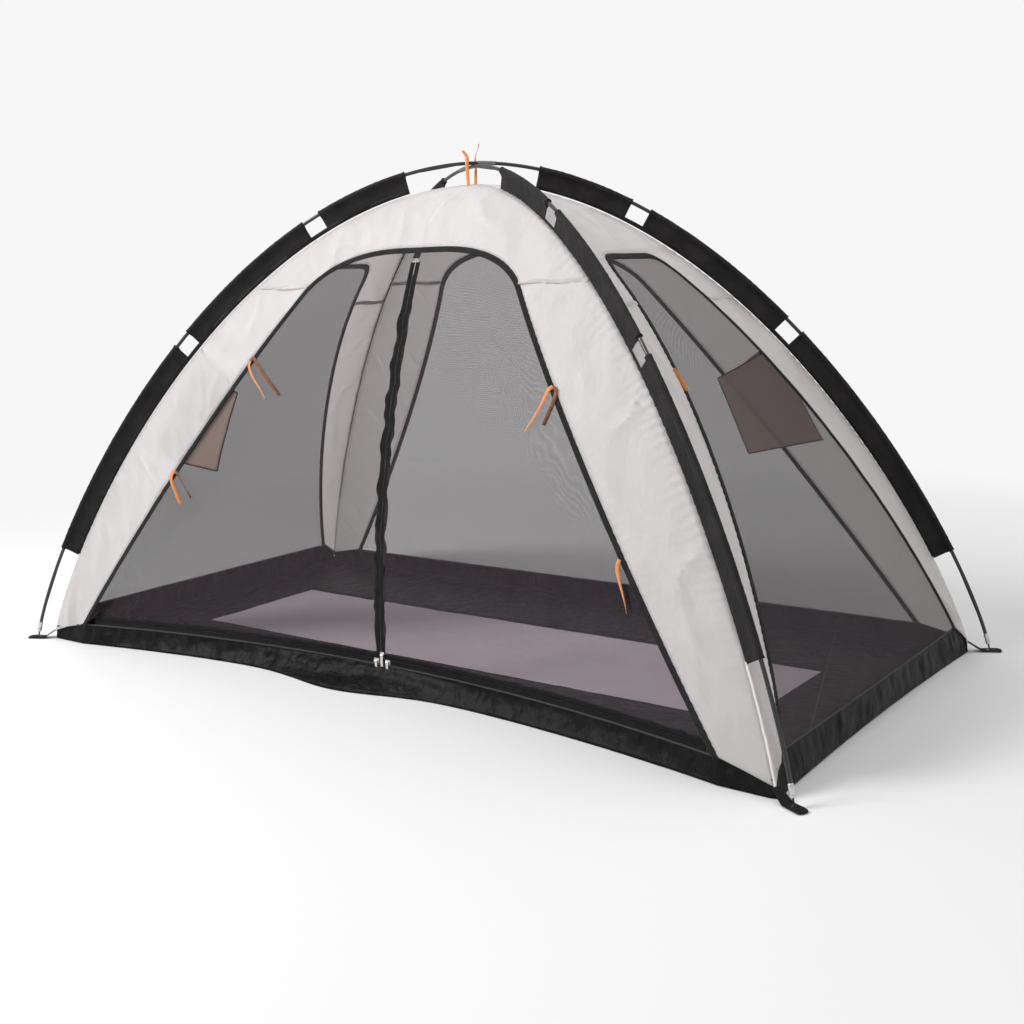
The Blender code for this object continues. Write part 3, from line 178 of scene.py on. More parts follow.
def mesh_from(name, points, faces, uvs=None, finish=None, smooth=True):
    """A mesh object at the origin from arrays of points, faces and corner UVs."""
    mesh = bpy.data.meshes.new(name)
    mesh.from_pydata([tuple(map(float, p)) for p in points], [], [tuple(map(int, f)) for f in faces])
    mesh.update()
    if uvs is not None:
        layer = mesh.uv_layers.new(name="UVMap")
        corner = np.zeros(len(mesh.loops), dtype=np.int32)
        mesh.loops.foreach_get("vertex_index", corner)
        layer.data.foreach_set("uv", np.asarray(uvs, dtype=np.float32)[corner].ravel())
    mesh.polygons.foreach_set("use_smooth", [smooth] * len(mesh.polygons))
    if finish is not None:
        mesh.materials.append(finish)
    piece = bpy.data.objects.new(name, mesh)
    bpy.context.scene.collection.objects.link(piece)
    return piece


def grid_quads(rows, columns, wrap=False):
    """Corner numbers of a grid's quads."""
    last = rows if wrap else rows - 1
    r, c = np.meshgrid(np.arange(last), np.arange(columns - 1), indexing="ij")
    s = (r + 1) % rows
    corners = [r * columns + c, s * columns + c, s * columns + c + 1, r * columns + c + 1]
    return np.stack(corners, axis=2).reshape(-1, 4)


def cloth(name, grid, thickness, finish, wrap=False):
    """A closed cloth whose outer skin is the grid; thickness 0 leaves one skin."""
    grid = np.asarray(grid, dtype=float)
    rows, columns = grid.shape[:2]
    normals = grid_normals(grid)
    quads = grid_quads(rows, columns, wrap)
    flat = grid.reshape(-1, 3)
    uvs = grid_uv(grid).reshape(-1, 2)
    a, b, d = flat[quads[:, 0]], flat[quads[:, 1]], flat[quads[:, 3]]
    outward = np.sum(np.cross(b - a, d - a) * normals.reshape(-1, 3)[quads[:, 0]])
    if outward < 0:
        quads = quads[:, ::-1]
    if not thickness:
        return mesh_from(name, flat, quads, uvs, finish)
    inner = flat - normals.reshape(-1, 3) * thickness
    count = len(flat)
    edges = dict.fromkeys((int(p), int(q)) for quad in quads for p, q in zip(quad, np.roll(quad, -1)))
    rim = [(q, p, p + count, q + count) for p, q in edges if (q, p) not in edges]
    faces = [tuple(q) for q in quads] + [tuple(q[::-1] + count) for q in quads] + rim
    return mesh_from(name, np.concatenate([flat, inner]), faces, np.concatenate([uvs, uvs]), finish)


def soft_noise(points, size, seed=0):
    """Smooth noise between about -1 and 1 at each point, with bumps of a size."""
    shift = Vector([seed * step for step in NOISE_SHIFT])
    flat = np.asarray(points).reshape(-1, 3)
    values = [noise.noise(Vector(p) / size + shift) for p in flat]
    return np.array(values).reshape(np.asarray(points).shape[:-1])


def face_outward(piece):
    """Turn every face of a closed piece outward."""
    bm = bmesh.new()
    bm.from_mesh(piece.data)
    bmesh.ops.recalc_face_normals(bm, faces=bm.faces)
    bm.to_mesh(piece.data)
    bm.free()
    return piece


def trim(piece, body="tent"):
    """Put trim, which has no solid of its own, on a body."""
    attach(piece, body)


def plain_piece(piece, node, body="tent"):
    """Put a piece on its body in place of its CAD node."""
    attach(piece, body)
    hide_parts(node)


def declare_cloth(piece, node, body="tent"):
    """Put a cloth in place of its CAD node."""
    plain_piece(piece, node, body)


print("sheet helpers ready")

# %% [markdown]
# Ribbon ties hold the rolled-up door, and two more are knotted round the
# crossing poles. Each strand is a flat satin ribbon 8 mm wide that leaves its
# sewn root, turns a little on its way and ends cut straight. A strand is swept
# from its route, because a thin flat section shows the twist that a tube hides.

# %% Ribbon ties
TIE_WIDTH = 0.008
TIE_THICKNESS = 0.0007
ROUTE_STEPS = 12
TURN_EASE = 1.3
CURL_SHARE, CURL_WAVES = 0.10, 90
RIBBON_SECTION = ((-1, 1), (0, 1), (1, 1), (1, -1), (0, -1), (-1, -1))
TIE_ROUTES = {
    "door_tie_left_upper": [
        (-0.355, -0.326, 0.599), (-0.370, -0.327, 0.623), (-0.389, -0.327, 0.647), (-0.401, -0.325, 0.670),
        (-0.402, -0.3193, 0.682), (-0.394, -0.317, 0.688), (-0.384, -0.319, 0.681), (-0.371, -0.319, 0.665),
        (-0.343, -0.318, 0.633), (-0.320, -0.315, 0.607),
    ],
    "door_tie_left_lower": [
        (-0.571, -0.407, 0.356), (-0.580, -0.412, 0.385), (-0.587, -0.416, 0.411), (-0.588, -0.4108, 0.426),
        (-0.580, -0.4088, 0.432), (-0.570, -0.409, 0.424), (-0.563, -0.406, 0.408), (-0.554, -0.401, 0.388),
        (-0.545, -0.397, 0.370),
    ],
    "door_tie_right_upper": [
        (0.362, -0.331, 0.558), (0.383, -0.336, 0.581), (0.403, -0.339, 0.605), (0.416, -0.338, 0.627),
        (0.424, -0.3348, 0.642), (0.432, -0.3326, 0.647), (0.440, -0.3347, 0.640), (0.440, -0.3425, 0.622),
        (0.430, -0.347, 0.597), (0.418, -0.347, 0.575),
    ],
    "door_tie_right_lower": [
        (0.634, -0.4318, 0.354), (0.629, -0.432, 0.338), (0.633, -0.433, 0.317), (0.640, -0.434, 0.295),
        (0.645, -0.433, 0.273), (0.647, -0.432, 0.257),
    ],
    "end_window_tie": [
        (0.620, -0.205, 0.6745), (0.6305, -0.208, 0.663), (0.642, -0.212, 0.6495), (0.654, -0.214, 0.636),
    ],
    "crown_tie_front": [
        (0.002, -0.016, 1.0526), (0.001, -0.016, 1.078), (-0.001, -0.015, 1.098), (-0.003, -0.011, 1.110),
        (-0.008, -0.008, 1.119), (-0.018, -0.007, 1.130),
    ],
    "crown_tie_back": [
        (-0.002, 0.016, 1.0526), (-0.001, 0.016, 1.078), (0.001, 0.015, 1.098), (0.003, 0.011, 1.110),
        (0.007, 0.008, 1.120), (0.014, 0.007, 1.132), (0.019, 0.005, 1.142),
    ],
}
# Where each folded ribbon is sewn on, as a point of its route, and how far each strand turns.
TIE_ROOTS = {
    "door_tie_left_upper": (4, 35, -60),
    "door_tie_left_lower": (4, -40, 70),
    "door_tie_right_upper": (5, 50, -35),
}
SINGLE_TURNS = {
    "door_tie_right_lower": 65,
    "end_window_tie": -30,
    "crown_tie_front": 80,
    "crown_tie_back": -70,
}


def smooth_route(points):
    """Close points on a smooth curve through a route."""
    places = [Vector(p) for p in points]
    ends = [2 * places[0] - places[1]] + places + [2 * places[-1] - places[-2]]
    fine = []
    for before, a, b, after in zip(ends, ends[1:], ends[2:], ends[3:]):
        for k in range(ROUTE_STEPS):
            t = k / ROUTE_STEPS
            fine.append(0.5 * (
                2 * a + (b - before) * t
                + (2 * before - 5 * a + 4 * b - after) * t ** 2
                + (3 * a - before - 3 * b + after) * t ** 3
            ))
    return fine + [places[-1]]


def route_length(route):
    """Length of a line of points."""
    return sum((b - a).length for a, b in zip(route, route[1:]))


def ribbon(name, route, turned, finish):
    """A flat ribbon along a route that turns by some degrees from its root to its tip."""
    facing = Vector((0, -1, 0))
    points, uvs = [], []
    run = 0.0
    half, thin = TIE_WIDTH / 2, TIE_THICKNESS / 2
    for i, place in enumerate(route):
        along = (route[min(i + 1, len(route) - 1)] - route[max(i - 1, 0)]).normalized()
        if i:
            run += (place - route[i - 1]).length
        wide = along.cross(facing).normalized()
        share = i / (len(route) - 1)
        wide = Matrix.Rotation(radians(turned) * share ** TURN_EASE, 3, along) @ wide
        flat = along.cross(wide)
        for across, lift in RIBBON_SECTION:
            curl = flat * (CURL_SHARE * half * (1 - abs(across)) * sin(run * CURL_WAVES))
            points.append(place + wide * half * across + flat * thin * lift + curl)
            uvs.append((half * across, run))
    around = len(RIBBON_SECTION)
    last = len(points) - around
    faces = []
    for start in range(0, last, around):
        for k in range(around):
            m = (k + 1) % around
            faces.append((start + k, start + m, start + around + m, start + around + k))
    for start in (0, last):
        faces += [(start, start + 1, start + 4, start + 5), (start + 1, start + 2, start + 3, start + 4)]
    return face_outward(mesh_from(name, points, faces, uvs, finish))


def hang_strand(name, node, route, turned, finish):
    """One ribbon strand, in place of its CAD node."""
    piece = ribbon(name, route, turned, finish)
    plain_piece(piece, node)
    print(name, "hangs", round(route_length(route) * 1000), "mm")


def hang_ties(bright, dull):
    """Every strand; a folded tie has the orange ribbon on one strand and, on the other, a darker copy of it that
    paints shade.
    """
    for node, points in TIE_ROUTES.items():
        if node in TIE_ROOTS:
            root, first, second = TIE_ROOTS[node]
            hang_strand(f"{node}_a", node, smooth_route(points[root::-1]), first, bright)
            hang_strand(f"{node}_b", node, smooth_route(points[root:]), second, dull)
        else:
            hang_strand(f"{node}_a", node, smooth_route(points), SINGLE_TURNS[node], bright)

# %% [markdown]
# Every finish is built from nodes. Cloth gets a weave from two sine waves in
# its own UV metres, soft creases from stretched noise and a slight change of
# colour; net is the same crossing of threads with holes between them.

# %% Material helpers
CREASE_STRETCH = 0.45


def new_finish(name, colour, roughness, **sockets):
    """A Principled material with even values on its sockets."""
    made = bpy.data.materials.new(name)
    made.use_nodes = True
    shader = made.node_tree.nodes["Principled BSDF"]
    shader.inputs["Base Color"].default_value = (*colour, 1)
    shader.inputs["Roughness"].default_value = roughness
    for socket, value in sockets.items():
        shader.inputs[socket.replace("_", " ")].default_value = value
    return made


def math_node(tree, operation, a, b=None):
    """A Math node between sockets or numbers."""
    node = tree.nodes.new("ShaderNodeMath")
    node.operation = operation
    for slot, value in zip(node.inputs, (a, b)):
        if isinstance(value, bpy.types.NodeSocket):
            tree.links.new(value, slot)
        elif value is not None:
            slot.default_value = value
    return node.outputs[0]


def thread_waves(tree, pitch):
    """Sine waves along and across the cloth, one period for each thread."""
    coords = tree.nodes.new("ShaderNodeTexCoord")
    parts = tree.nodes.new("ShaderNodeSeparateXYZ")
    tree.links.new(coords.outputs["UV"], parts.inputs[0])
    turns = [math_node(tree, "MULTIPLY", parts.outputs[k], 2 * pi / pitch) for k in (0, 1)]
    return [math_node(tree, "SINE", turn) for turn in turns]


def noise_factor(tree, scale, detail=3.0, stretch=(1, 1, 1)):
    """Noise in the cloth's own metres."""
    coords = tree.nodes.new("ShaderNodeTexCoord")
    mapping = tree.nodes.new("ShaderNodeMapping")
    mapping.inputs["Scale"].default_value = stretch
    texture = tree.nodes.new("ShaderNodeTexNoise")
    texture.inputs["Scale"].default_value = scale
    texture.inputs["Detail"].default_value = detail
    tree.links.new(coords.outputs["Object"], mapping.inputs["Vector"])
    tree.links.new(mapping.outputs["Vector"], texture.inputs["Vector"])
    return texture.outputs["Fac"]


def mottle(finish, dark, light, scale):
    """Base colour that drifts between two close tones."""
    tree = finish.node_tree
    ramp = tree.nodes.new("ShaderNodeValToRGB")
    for stop, position, tone in zip(ramp.color_ramp.elements, (0.3, 0.7), (dark, light)):
        stop.position = position
        stop.color = (*tone, 1)
    tree.links.new(noise_factor(tree, scale, 4.0), ramp.inputs["Fac"])
    tree.links.new(ramp.outputs["Color"], tree.nodes["Principled BSDF"].inputs["Base Color"])


def relief(finish, *layers):
    """Bump from layers of (height socket, distance in metres), stacked."""
    tree = finish.node_tree
    previous = None
    for height, distance in layers:
        bump = tree.nodes.new("ShaderNodeBump")
        bump.inputs["Strength"].default_value = 1.0
        bump.inputs["Distance"].default_value = distance
        tree.links.new(height, bump.inputs["Height"])
        if previous is not None:
            tree.links.new(previous, bump.inputs["Normal"])
        previous = bump.outputs["Normal"]
    tree.links.new(previous, tree.nodes["Principled BSDF"].inputs["Normal"])


def woven(name, tones, roughness, weave, creases, drift=None, **sockets):
    """Cloth of one tone, or of two with a scale of drift; weave is pitch and depth, creases scale and depth."""
    finish = new_finish(name, tones[0], roughness, **sockets)
    tree = finish.node_tree
    along, across = thread_waves(tree, weave[0])
    threads = math_node(tree, "MULTIPLY", along, across)
    folds = noise_factor(tree, creases[0], 5.0, (1, 1, CREASE_STRETCH))
    relief(finish, (folds, creases[1]), (threads, weave[1]))
    if drift:
        mottle(finish, *tones, drift)
    return finish


def marked(name, colour, roughness, marks, depth, **sockets):
    """A hard finish with fine marks: noise scale, detail and stretch, and their depth."""
    finish = new_finish(name, colour, roughness, **sockets)
    relief(finish, (noise_factor(finish.node_tree, *marks), depth))
    return finish


def netting(name, colour, pitch, hole_alpha, thread_alpha):
    """Open net: threads cover more than the holes between them."""
    finish = new_finish(name, colour, 0.75)
    tree = finish.node_tree
    along, across = thread_waves(tree, pitch)
    crossing = math_node(tree, "MAXIMUM", along, across)
    spread = tree.nodes.new("ShaderNodeMapRange")
    spread.inputs["From Min"].default_value = 0.45
    spread.inputs["From Max"].default_value = 0.95
    spread.inputs["To Min"].default_value = hole_alpha
    spread.inputs["To Max"].default_value = thread_alpha
    tree.links.new(crossing, spread.inputs["Value"])
    tree.links.new(spread.outputs["Result"], tree.nodes["Principled BSDF"].inputs["Alpha"])
    relief(finish, (crossing, 0.0002))
    return finish


# %% The tent's finishes
CLOTH_WEAVE = (0.0011, 0.00006)
CANOPY = woven("beige_canopy", [(0.778, 0.664, 0.648), (0.818, 0.704, 0.686)], 0.55,
               CLOTH_WEAVE, (30, 0.0032), drift=5, Sheen_Weight=0.15)
SEAM = woven("beige_seam", [(0.83, 0.74, 0.722)], 0.6, CLOTH_WEAVE, (60, 0.0006), Sheen_Weight=0.15)
for finish in (CANOPY, SEAM):
    shader = finish.node_tree.nodes["Principled BSDF"]
    shader.inputs["Subsurface Weight"].default_value = 0.85
    shader.inputs["Subsurface Radius"].default_value = (1.0, 0.94, 0.91)
    shader.inputs["Subsurface Scale"].default_value = 0.012
FLOOR_CLOTH = woven("light_floor_cloth", [(0.81, 0.70, 0.77), (0.89, 0.78, 0.85)], 0.7,
                    CLOTH_WEAVE, (30, 0.0020), drift=9, Sheen_Weight=0.15)
TUB = woven("black_tub", [(0.0036, 0.0032, 0.0038), (0.0076, 0.0069, 0.0079)], 0.36,
            (0.0008, 0.00004), (24, 0.0110), drift=14, Specular_IOR_Level=0.11)
SLEEVE = woven("black_sleeve", [(0.008, 0.0072, 0.008), (0.017, 0.0155, 0.017)], 0.45,
               (0.0009, 0.00008), (60, 0.0026), drift=22, Specular_IOR_Level=0.15)
BINDING = woven("black_binding", [(0.010, 0.009, 0.010), (0.022, 0.020, 0.022)], 0.6,
                (0.0012, 0.00025), (90, 0.0004), drift=60, Specular_IOR_Level=0.2)
WEBBING = woven("black_webbing", [(0.008, 0.008, 0.008)], 0.7,
                (0.0016, 0.0003), (120, 0.0003), Specular_IOR_Level=0.2)
ZIP_TAPE = woven("black_zip_tape", [(0.007, 0.0065, 0.007)], 0.5,
                 (0.0010, 0.0002), (140, 0.0004), Specular_IOR_Level=0.14)
HEM = woven("black_piping", [(0.035, 0.034, 0.036)], 0.6, (0.0012, 0.0002), (80, 0.0004))
RIBBON = woven("orange_ribbon", [(0.66, 0.20, 0.035), (0.80, 0.28, 0.055)], 0.42,
               (0.0007, 0.00006), (200, 0.0004), drift=90, Sheen_Weight=0.3)
# Painted shade: a darker copy of the orange ribbon for the second strand of each folded tie.
SHADED_RIBBON = woven("painted_shade_ribbon", [(0.13, 0.045, 0.018), (0.26, 0.09, 0.03)], 0.55,
                    (0.0007, 0.00006), (200, 0.0004), drift=90)
NET_COLOUR = (0.042, 0.028, 0.036)
NET = netting("grey_net", NET_COLOUR, 0.0014, 0.24, 0.77)
END_NET = netting("dense_grey_net", NET_COLOUR, 0.0012, 0.42, 0.90)
POCKET = netting("pocket_net", (0.82, 0.62, 0.51), 0.0011, 0.62, 0.92)
THREAD = new_finish("pale_thread", (0.72, 0.68, 0.68), 0.6)
DARK_THREAD = new_finish("dark_thread", (0.035, 0.033, 0.036), 0.6)
ZIP_COIL = new_finish("black_zip_coil", (0.006, 0.006, 0.0065), 0.30, Specular_IOR_Level=0.35)
SHOCK_CORD = new_finish("shock_cord", (0.03, 0.03, 0.03), 0.8)
POLE = marked("black_pole", (0.013, 0.013, 0.014), 0.30, (420, 2.0, (1, 1, 0.08)), 0.00008, Coat_Weight=0.25)
FERRULE = marked("grey_ferrule", (0.16, 0.16, 0.165), 0.38, (500, 2.0, (1, 1, 0.1)), 0.00005, Metallic=0.6)
PLATED = marked("plated_metal", (0.62, 0.62, 0.63), 0.26, (900,), 0.00002, Metallic=1.0)
PALE_METAL = marked("pale_metal", (0.80, 0.76, 0.70), 0.30, (700,), 0.00003, Metallic=1.0)
hang_ties(RIBBON, SHADED_RIBBON)

# %% [markdown]
# The dome's cloth is four bands, one for each side of the crossing poles. On
# the real tent each is cut from polyester, sewn to its neighbours on the pole
# seams and to the black binding of its window. Sewing draws the cloth
# together, so small puckers stand across each seam, and the pull of the poles
# leaves long folds towards the feet. The bands are grids between the seam and
# the window's edge, so every pucker starts at the line that makes it.

# %% Window outlines
LONG_FOOT_HALF, END_FOOT_HALF = 0.860, 0.447
LONG_WINDOW = {"foot": (LONG_FOOT_HALF, 0.050), "shoulder": (0.300, 0.830),
               "top": 0.919, "flat": 0.060, "reach": 0.085}
END_WINDOW = {"foot": (END_FOOT_HALF, 0.064), "shoulder": (0.136, 0.830),
              "top": 0.893, "flat": 0.070, "reach": 0.040}
SIDE_POINTS, SHOULDER_POINTS, TOP_POINTS = 60, 25, 8
CANOPY_FOOT_HEIGHT = 0.033
CROWN_EDGE_RUN = 1.6625
FOOT_EDGE_RUN = run_at_height(CANOPY_FOOT_HEIGHT)
SEAM_ALLOWANCE = 0.0013
BINDING_WIDTH = 0.011


def window_side(window, inset=0.0):
    """One side of a window's outline, foot to top middle, moved inward by an inset."""
    foot = np.array(window["foot"])
    shoulder = np.array(window["shoulder"])
    straight = (shoulder - foot) / np.linalg.norm(shoulder - foot)
    end = np.array([window["flat"], window["top"]])
    first = shoulder + straight * window["reach"]
    second = end + np.array([window["reach"], 0])
    t = np.linspace(0, 1, SHOULDER_POINTS)[1:, None]
    curve = shoulder * (1 - t) ** 3 + 3 * first * t * (1 - t) ** 2 + 3 * second * t ** 2 * (1 - t) + end * t ** 3
    line = foot + (shoulder - foot) * np.linspace(0, 1, SIDE_POINTS)[:, None]
    flat = np.stack([np.linspace(end[0], 0, TOP_POINTS)[1:], np.full(TOP_POINTS - 1, end[1])], axis=1)
    outline = np.concatenate([line, curve, flat])
    if inset:
        along = np.gradient(outline, axis=0)
        along /= np.linalg.norm(along, axis=1, keepdims=True)
        outline = outline + np.stack([-along[:, 1], along[:, 0]], axis=1) * inset
        outline[:, 0] = np.maximum(outline[:, 0], 0)
    return outline


def even_along(line, count):
    """Points at even distances along a line of points."""
    run = run_along(line)
    wanted = np.linspace(0, run[-1], count)
    return np.stack([np.interp(wanted, run, line[:, k]) for k in range(line.shape[1])], axis=1)


def wall_place(side, outward, across, height, sag=0.0):
    """A place on a wall: side 'long' faces along Y, side 'end' along X."""
    reach = ridge_half(height)
    if side == "long":
        return np.stack([across, outward * (WIDTH_SHARE * reach - sag), height + 0 * across], axis=-1)
    return np.stack([outward * (LENGTH_SHARE * reach - sag), across, height + 0 * across], axis=-1)


def seam_line(side, count):
    """The pole seam of one wall's half as (across, height), foot to crown."""
    runs = np.linspace(FOOT_EDGE_RUN, CROWN_EDGE_RUN, count)
    reach = np.interp(runs, CURVE_RUN, RIDGE_U)
    height = np.interp(runs, CURVE_RUN, RIDGE_Z)
    share = LENGTH_SHARE if side == "long" else WIDTH_SHARE
    return np.stack([reach * share - SEAM_ALLOWANCE, height], axis=1)


print("window outlines", len(window_side(LONG_WINDOW)), "points")

# %% Canopy bands
BAND_ROWS = 300
BAND_COLUMNS = 15
CLOTH_THICKNESS = 0.0009
BAND_RUN = 1.6
SEAM_STEPS = 900
PUCKER_HEIGHT, PUCKER_PITCH, PUCKER_DRIFT = 0.0014, 0.021, 2.2
SEAM_REACH, EDGE_REACH, EDGE_SHARE = 0.16, 0.12, 0.8
FOLD_HEIGHT = 0.0085
FOLD_STRETCH = np.array([1.0, 1.0, 0.38])
FOLD_SLANT = np.array([0.45, 0.20, 0])
FOLD_SIZE, FINE_SIZE, SHARP_SIZE = 0.095, 0.035, 0.16
FOLD_MIX, FINE_MIX, SHARP_MIX = 0.40, 0.35, 0.55
WALL_SLOPE = 0.35
SLOPED = hypot(1, WALL_SLOPE)
WALLS = {"front": ("long", -1, LONG_WINDOW), "back": ("long", 1, LONG_WINDOW),
         "left": ("end", -1, END_WINDOW), "right": ("end", 1, END_WINDOW)}


def wall_normal(side, outward):
    """Rough outward direction of a wall, one metre long."""
    normal = np.array([0, outward, WALL_SLOPE] if side == "long" else [outward, 0, WALL_SLOPE])
    return normal / np.linalg.norm(normal)


def both_halves(half, wall, seeds):
    """A wall's grid from foot to foot, from its right and its left half."""
    one, other = (half(*WALLS[wall], sign, seed) for sign, seed in zip((1, -1), seeds))
    return np.concatenate([one, other[::-1][1:]])


def folded(places, share, seed, edge_run):
    """How far the cloth stands out: puckers at both seams, long folds between."""
    along = np.broadcast_to(edge_run, share.shape)
    wave = np.sin(along * 2 * pi / PUCKER_PITCH + PUCKER_DRIFT * soft_noise(places, 0.06, seed))
    at_seam = np.exp(-share / SEAM_REACH) + EDGE_SHARE * np.exp(-(1 - share) / EDGE_REACH)
    pucker = PUCKER_HEIGHT * wave * at_seam * (0.6 + 0.5 * soft_noise(places, 0.11, seed + 1))
    slanted = places * FOLD_STRETCH + places[..., 2:3] * FOLD_SLANT
    ridge = 1 - 2.4 * np.abs(soft_noise(slanted, FOLD_SIZE, seed + 2))
    sharp = np.clip(1 - 7 * np.abs(soft_noise(slanted, SHARP_SIZE, seed + 4)), 0, 1) ** 1.5
    middle = np.clip(share * (1 - share) * 4, 0, 1) ** 0.6
    fold = FOLD_MIX * ridge + FINE_MIX * soft_noise(slanted, FINE_SIZE, seed + 3) + SHARP_MIX * sharp
    return pucker + FOLD_HEIGHT * fold * middle


def band_half(side, outward, window, sign, seed):
    """Grid of one half of a band, foot to crown, seam to window."""
    seam = even_along(seam_line(side, SEAM_STEPS), BAND_ROWS)
    edge = even_along(window_side(window), BAND_ROWS)
    share = np.linspace(0, 1, BAND_COLUMNS)[None, :]
    flat = seam[:, None, :] * (1 - share[..., None]) + edge[:, None, :] * share[..., None]
    places = wall_place(side, outward, sign * flat[..., 0], flat[..., 1])
    run = np.linspace(0, BAND_RUN, BAND_ROWS)[:, None]
    lift = folded(places, share + 0 * run, seed, run)
    return places + lift[..., None] * wall_normal(side, outward)


for number, wall in enumerate(WALLS, 1):
    grid = both_halves(band_half, wall, (11 * number, 11 * number + 5))
    piece = cloth(f"{wall}_canopy_cloth", grid, CLOTH_THICKNESS, CANOPY)
    declare_cloth(piece, f"{wall}_canopy_panel")

# %% [markdown]
# The panels are cut from several pieces, and their cross seams are felled:
# the cloth is folded over itself and stitched down twice. Each shows as a
# raised strip 9 mm wide with two rows of stitches.

# %% Felled seams
STITCH_ROWS = []
FELL_WIDTH, FELL_THICKNESS = 0.009, 0.0008
FELL_STEPS = 40
UNDER_POLE_SEAM, UNDER_BINDING = 0.003, 0.001
FELL_SWAY, FELL_RIPPLE = 0.0012, 0.0007
FELL_LIFTS = (0.0006, 0.0022, 0.0027, 0.0029, 0.0027, 0.0022, 0.0006)
STITCHED_COLUMNS = (1, 5)
STITCH_STAND = 0.0003
# Wall, side of its middle, and the seam's heights at the pole and at the window.
FELLS = [("front", -1, 0.842, 0.842), ("front", 1, 0.842, 0.842), ("front", -1, 0.704, 0.628),
         ("back", 1, 0.700, 0.610), ("back", -1, 0.842, 0.842)]
FELLS += [(wall, sign, 0.795, 0.795) for wall in ("right", "left") for sign in (-1, 1)]


def outline_share_height(line, height):
    """Across place of an outline at a height."""
    order = np.argsort(line[:, 1])
    return float(np.interp(height, line[order, 1], line[order, 0]))


for number, (wall, sign, seam_height, edge_height) in enumerate(FELLS):
    side, outward, window = WALLS[wall]
    normal = wall_normal(side, outward)
    start = np.array([outline_share_height(seam_line(side, 300), seam_height) - UNDER_POLE_SEAM, seam_height])
    end = np.array([outline_share_height(window_side(window), edge_height) + UNDER_BINDING, edge_height])
    t = np.linspace(0, 1, FELL_STEPS)[:, None]
    middle = start * (1 - t) + end * t
    middle[:, 1] += FELL_SWAY * np.sin(t[:, 0] * 9 + number)
    along = (end - start) / np.linalg.norm(end - start)
    wide = np.array([-along[1], along[0]])
    columns = []
    for k, lift in zip(np.linspace(-1, 1, len(FELL_LIFTS)), FELL_LIFTS):
        flat = middle + wide * k * FELL_WIDTH / 2
        wave = FELL_RIPPLE * np.sin(t[:, 0] * 45 + k)
        columns.append(wall_place(side, outward, sign * flat[:, 0], flat[:, 1]) + np.outer(lift + wave, normal))
    for k in STITCHED_COLUMNS:
        STITCH_ROWS.append(("tent", "pale", columns[k] + normal * STITCH_STAND))
    strip = cloth(f"felled_seam_{number + 1}", np.stack(columns, axis=1), FELL_THICKNESS, SEAM)
    trim(strip)
print(len(FELLS), "felled seams")

# %% [markdown]
# Black tape binds the cut edge of each window. It is folded over the edge
# and stitched through, so it lies a little proud and its edges curl down.

# %% Window bindings
BINDING_ROWS = 420
BINDING_THICKNESS, BINDING_OVERLAP = 0.0012, 0.0006
BINDING_LIFT, BINDING_CROWN, BINDING_WAVE = 0.0005, 0.0011, 0.0006
TAPE_STITCH_STAND = STITCH_STAND * SLOPED


def binding_half(side, outward, window, sign, seed):
    """Grid of one half of a binding, foot to crown middle."""
    outer = even_along(window_side(window, -BINDING_OVERLAP), BINDING_ROWS)
    inner = even_along(window_side(window, BINDING_WIDTH), BINDING_ROWS)
    share = np.linspace(0, 1, 7)[None, :]
    flat = outer[:, None, :] * (1 - share[..., None]) + inner[:, None, :] * share[..., None]
    flat[-1, :, 0] = 0
    places = wall_place(side, outward, sign * flat[..., 0], flat[..., 1])
    crown = 1 - (2 * share - 1) ** 4
    lift = BINDING_LIFT + BINDING_CROWN * crown + BINDING_WAVE * soft_noise(places, 0.03, seed)
    return places + lift[..., None] * wall_normal(side, outward)


for number, (wall, (side, outward, _)) in enumerate(WALLS.items(), 3):
    grid = both_halves(binding_half, wall, (number, number))
    piece = cloth(f"{wall}_binding_tape", grid, BINDING_THICKNESS, BINDING)
    declare_cloth(piece, f"{wall}_window_binding")
    for k in STITCHED_COLUMNS:
        STITCH_ROWS.append(("tent", "dark", grid[:, k] + wall_normal(side, outward) * TAPE_STITCH_STAND))

# %% [markdown]
# Netting hangs between the bindings. It is light and a little slack, so it
# sags inward between its edges. It is one skin of cloth with see-through
# holes: the fine threads would be thinner than a pixel, so its material
# carries them.

# %% Window nets
NET_ROWS, NET_COLUMNS = 90, 60
BACK_SAG, END_SAG = 0.050, 0.030
NET_TUCK = 0.0075
NET_BILLOW, NET_CREASE = 0.004 * SLOPED, 0.0012 * SLOPED
for wall, sag in (("back", BACK_SAG), ("left", END_SAG), ("right", END_SAG)):
    side, outward, window = WALLS[wall]
    edge = even_along(window_side(window, NET_TUCK), NET_ROWS)
    foot, top = edge[0, 1], edge[-1, 1]
    edge[-1, 0] = edge[-2, 0] * 0.98
    rise = ((edge[:, 1] - foot) / (top - foot))[:, None]
    share = np.linspace(-1, 1, NET_COLUMNS)[None, :]
    inward = sag * (1 - share ** 2) * 4 * rise * (1 - rise) + 0.0004
    places = wall_place(side, outward, edge[:, :1] * share, edge[:, 1:] + 0 * share, inward)
    quiet = (1 - share ** 6) * np.clip(12 * rise * (1 - rise), 0, 1)
    ripple = NET_BILLOW * soft_noise(places * np.array([1, 1, 0.3]), 0.11, 31)
    ripple = ripple + NET_CREASE * soft_noise(places, 0.03, 7)
    grid = places + (ripple * quiet)[..., None] * wall_normal(side, outward)
    piece = cloth(f"{wall}_net", grid, 0, NET if wall == "back" else END_NET)
    declare_cloth(piece, f"{wall}_window_net")
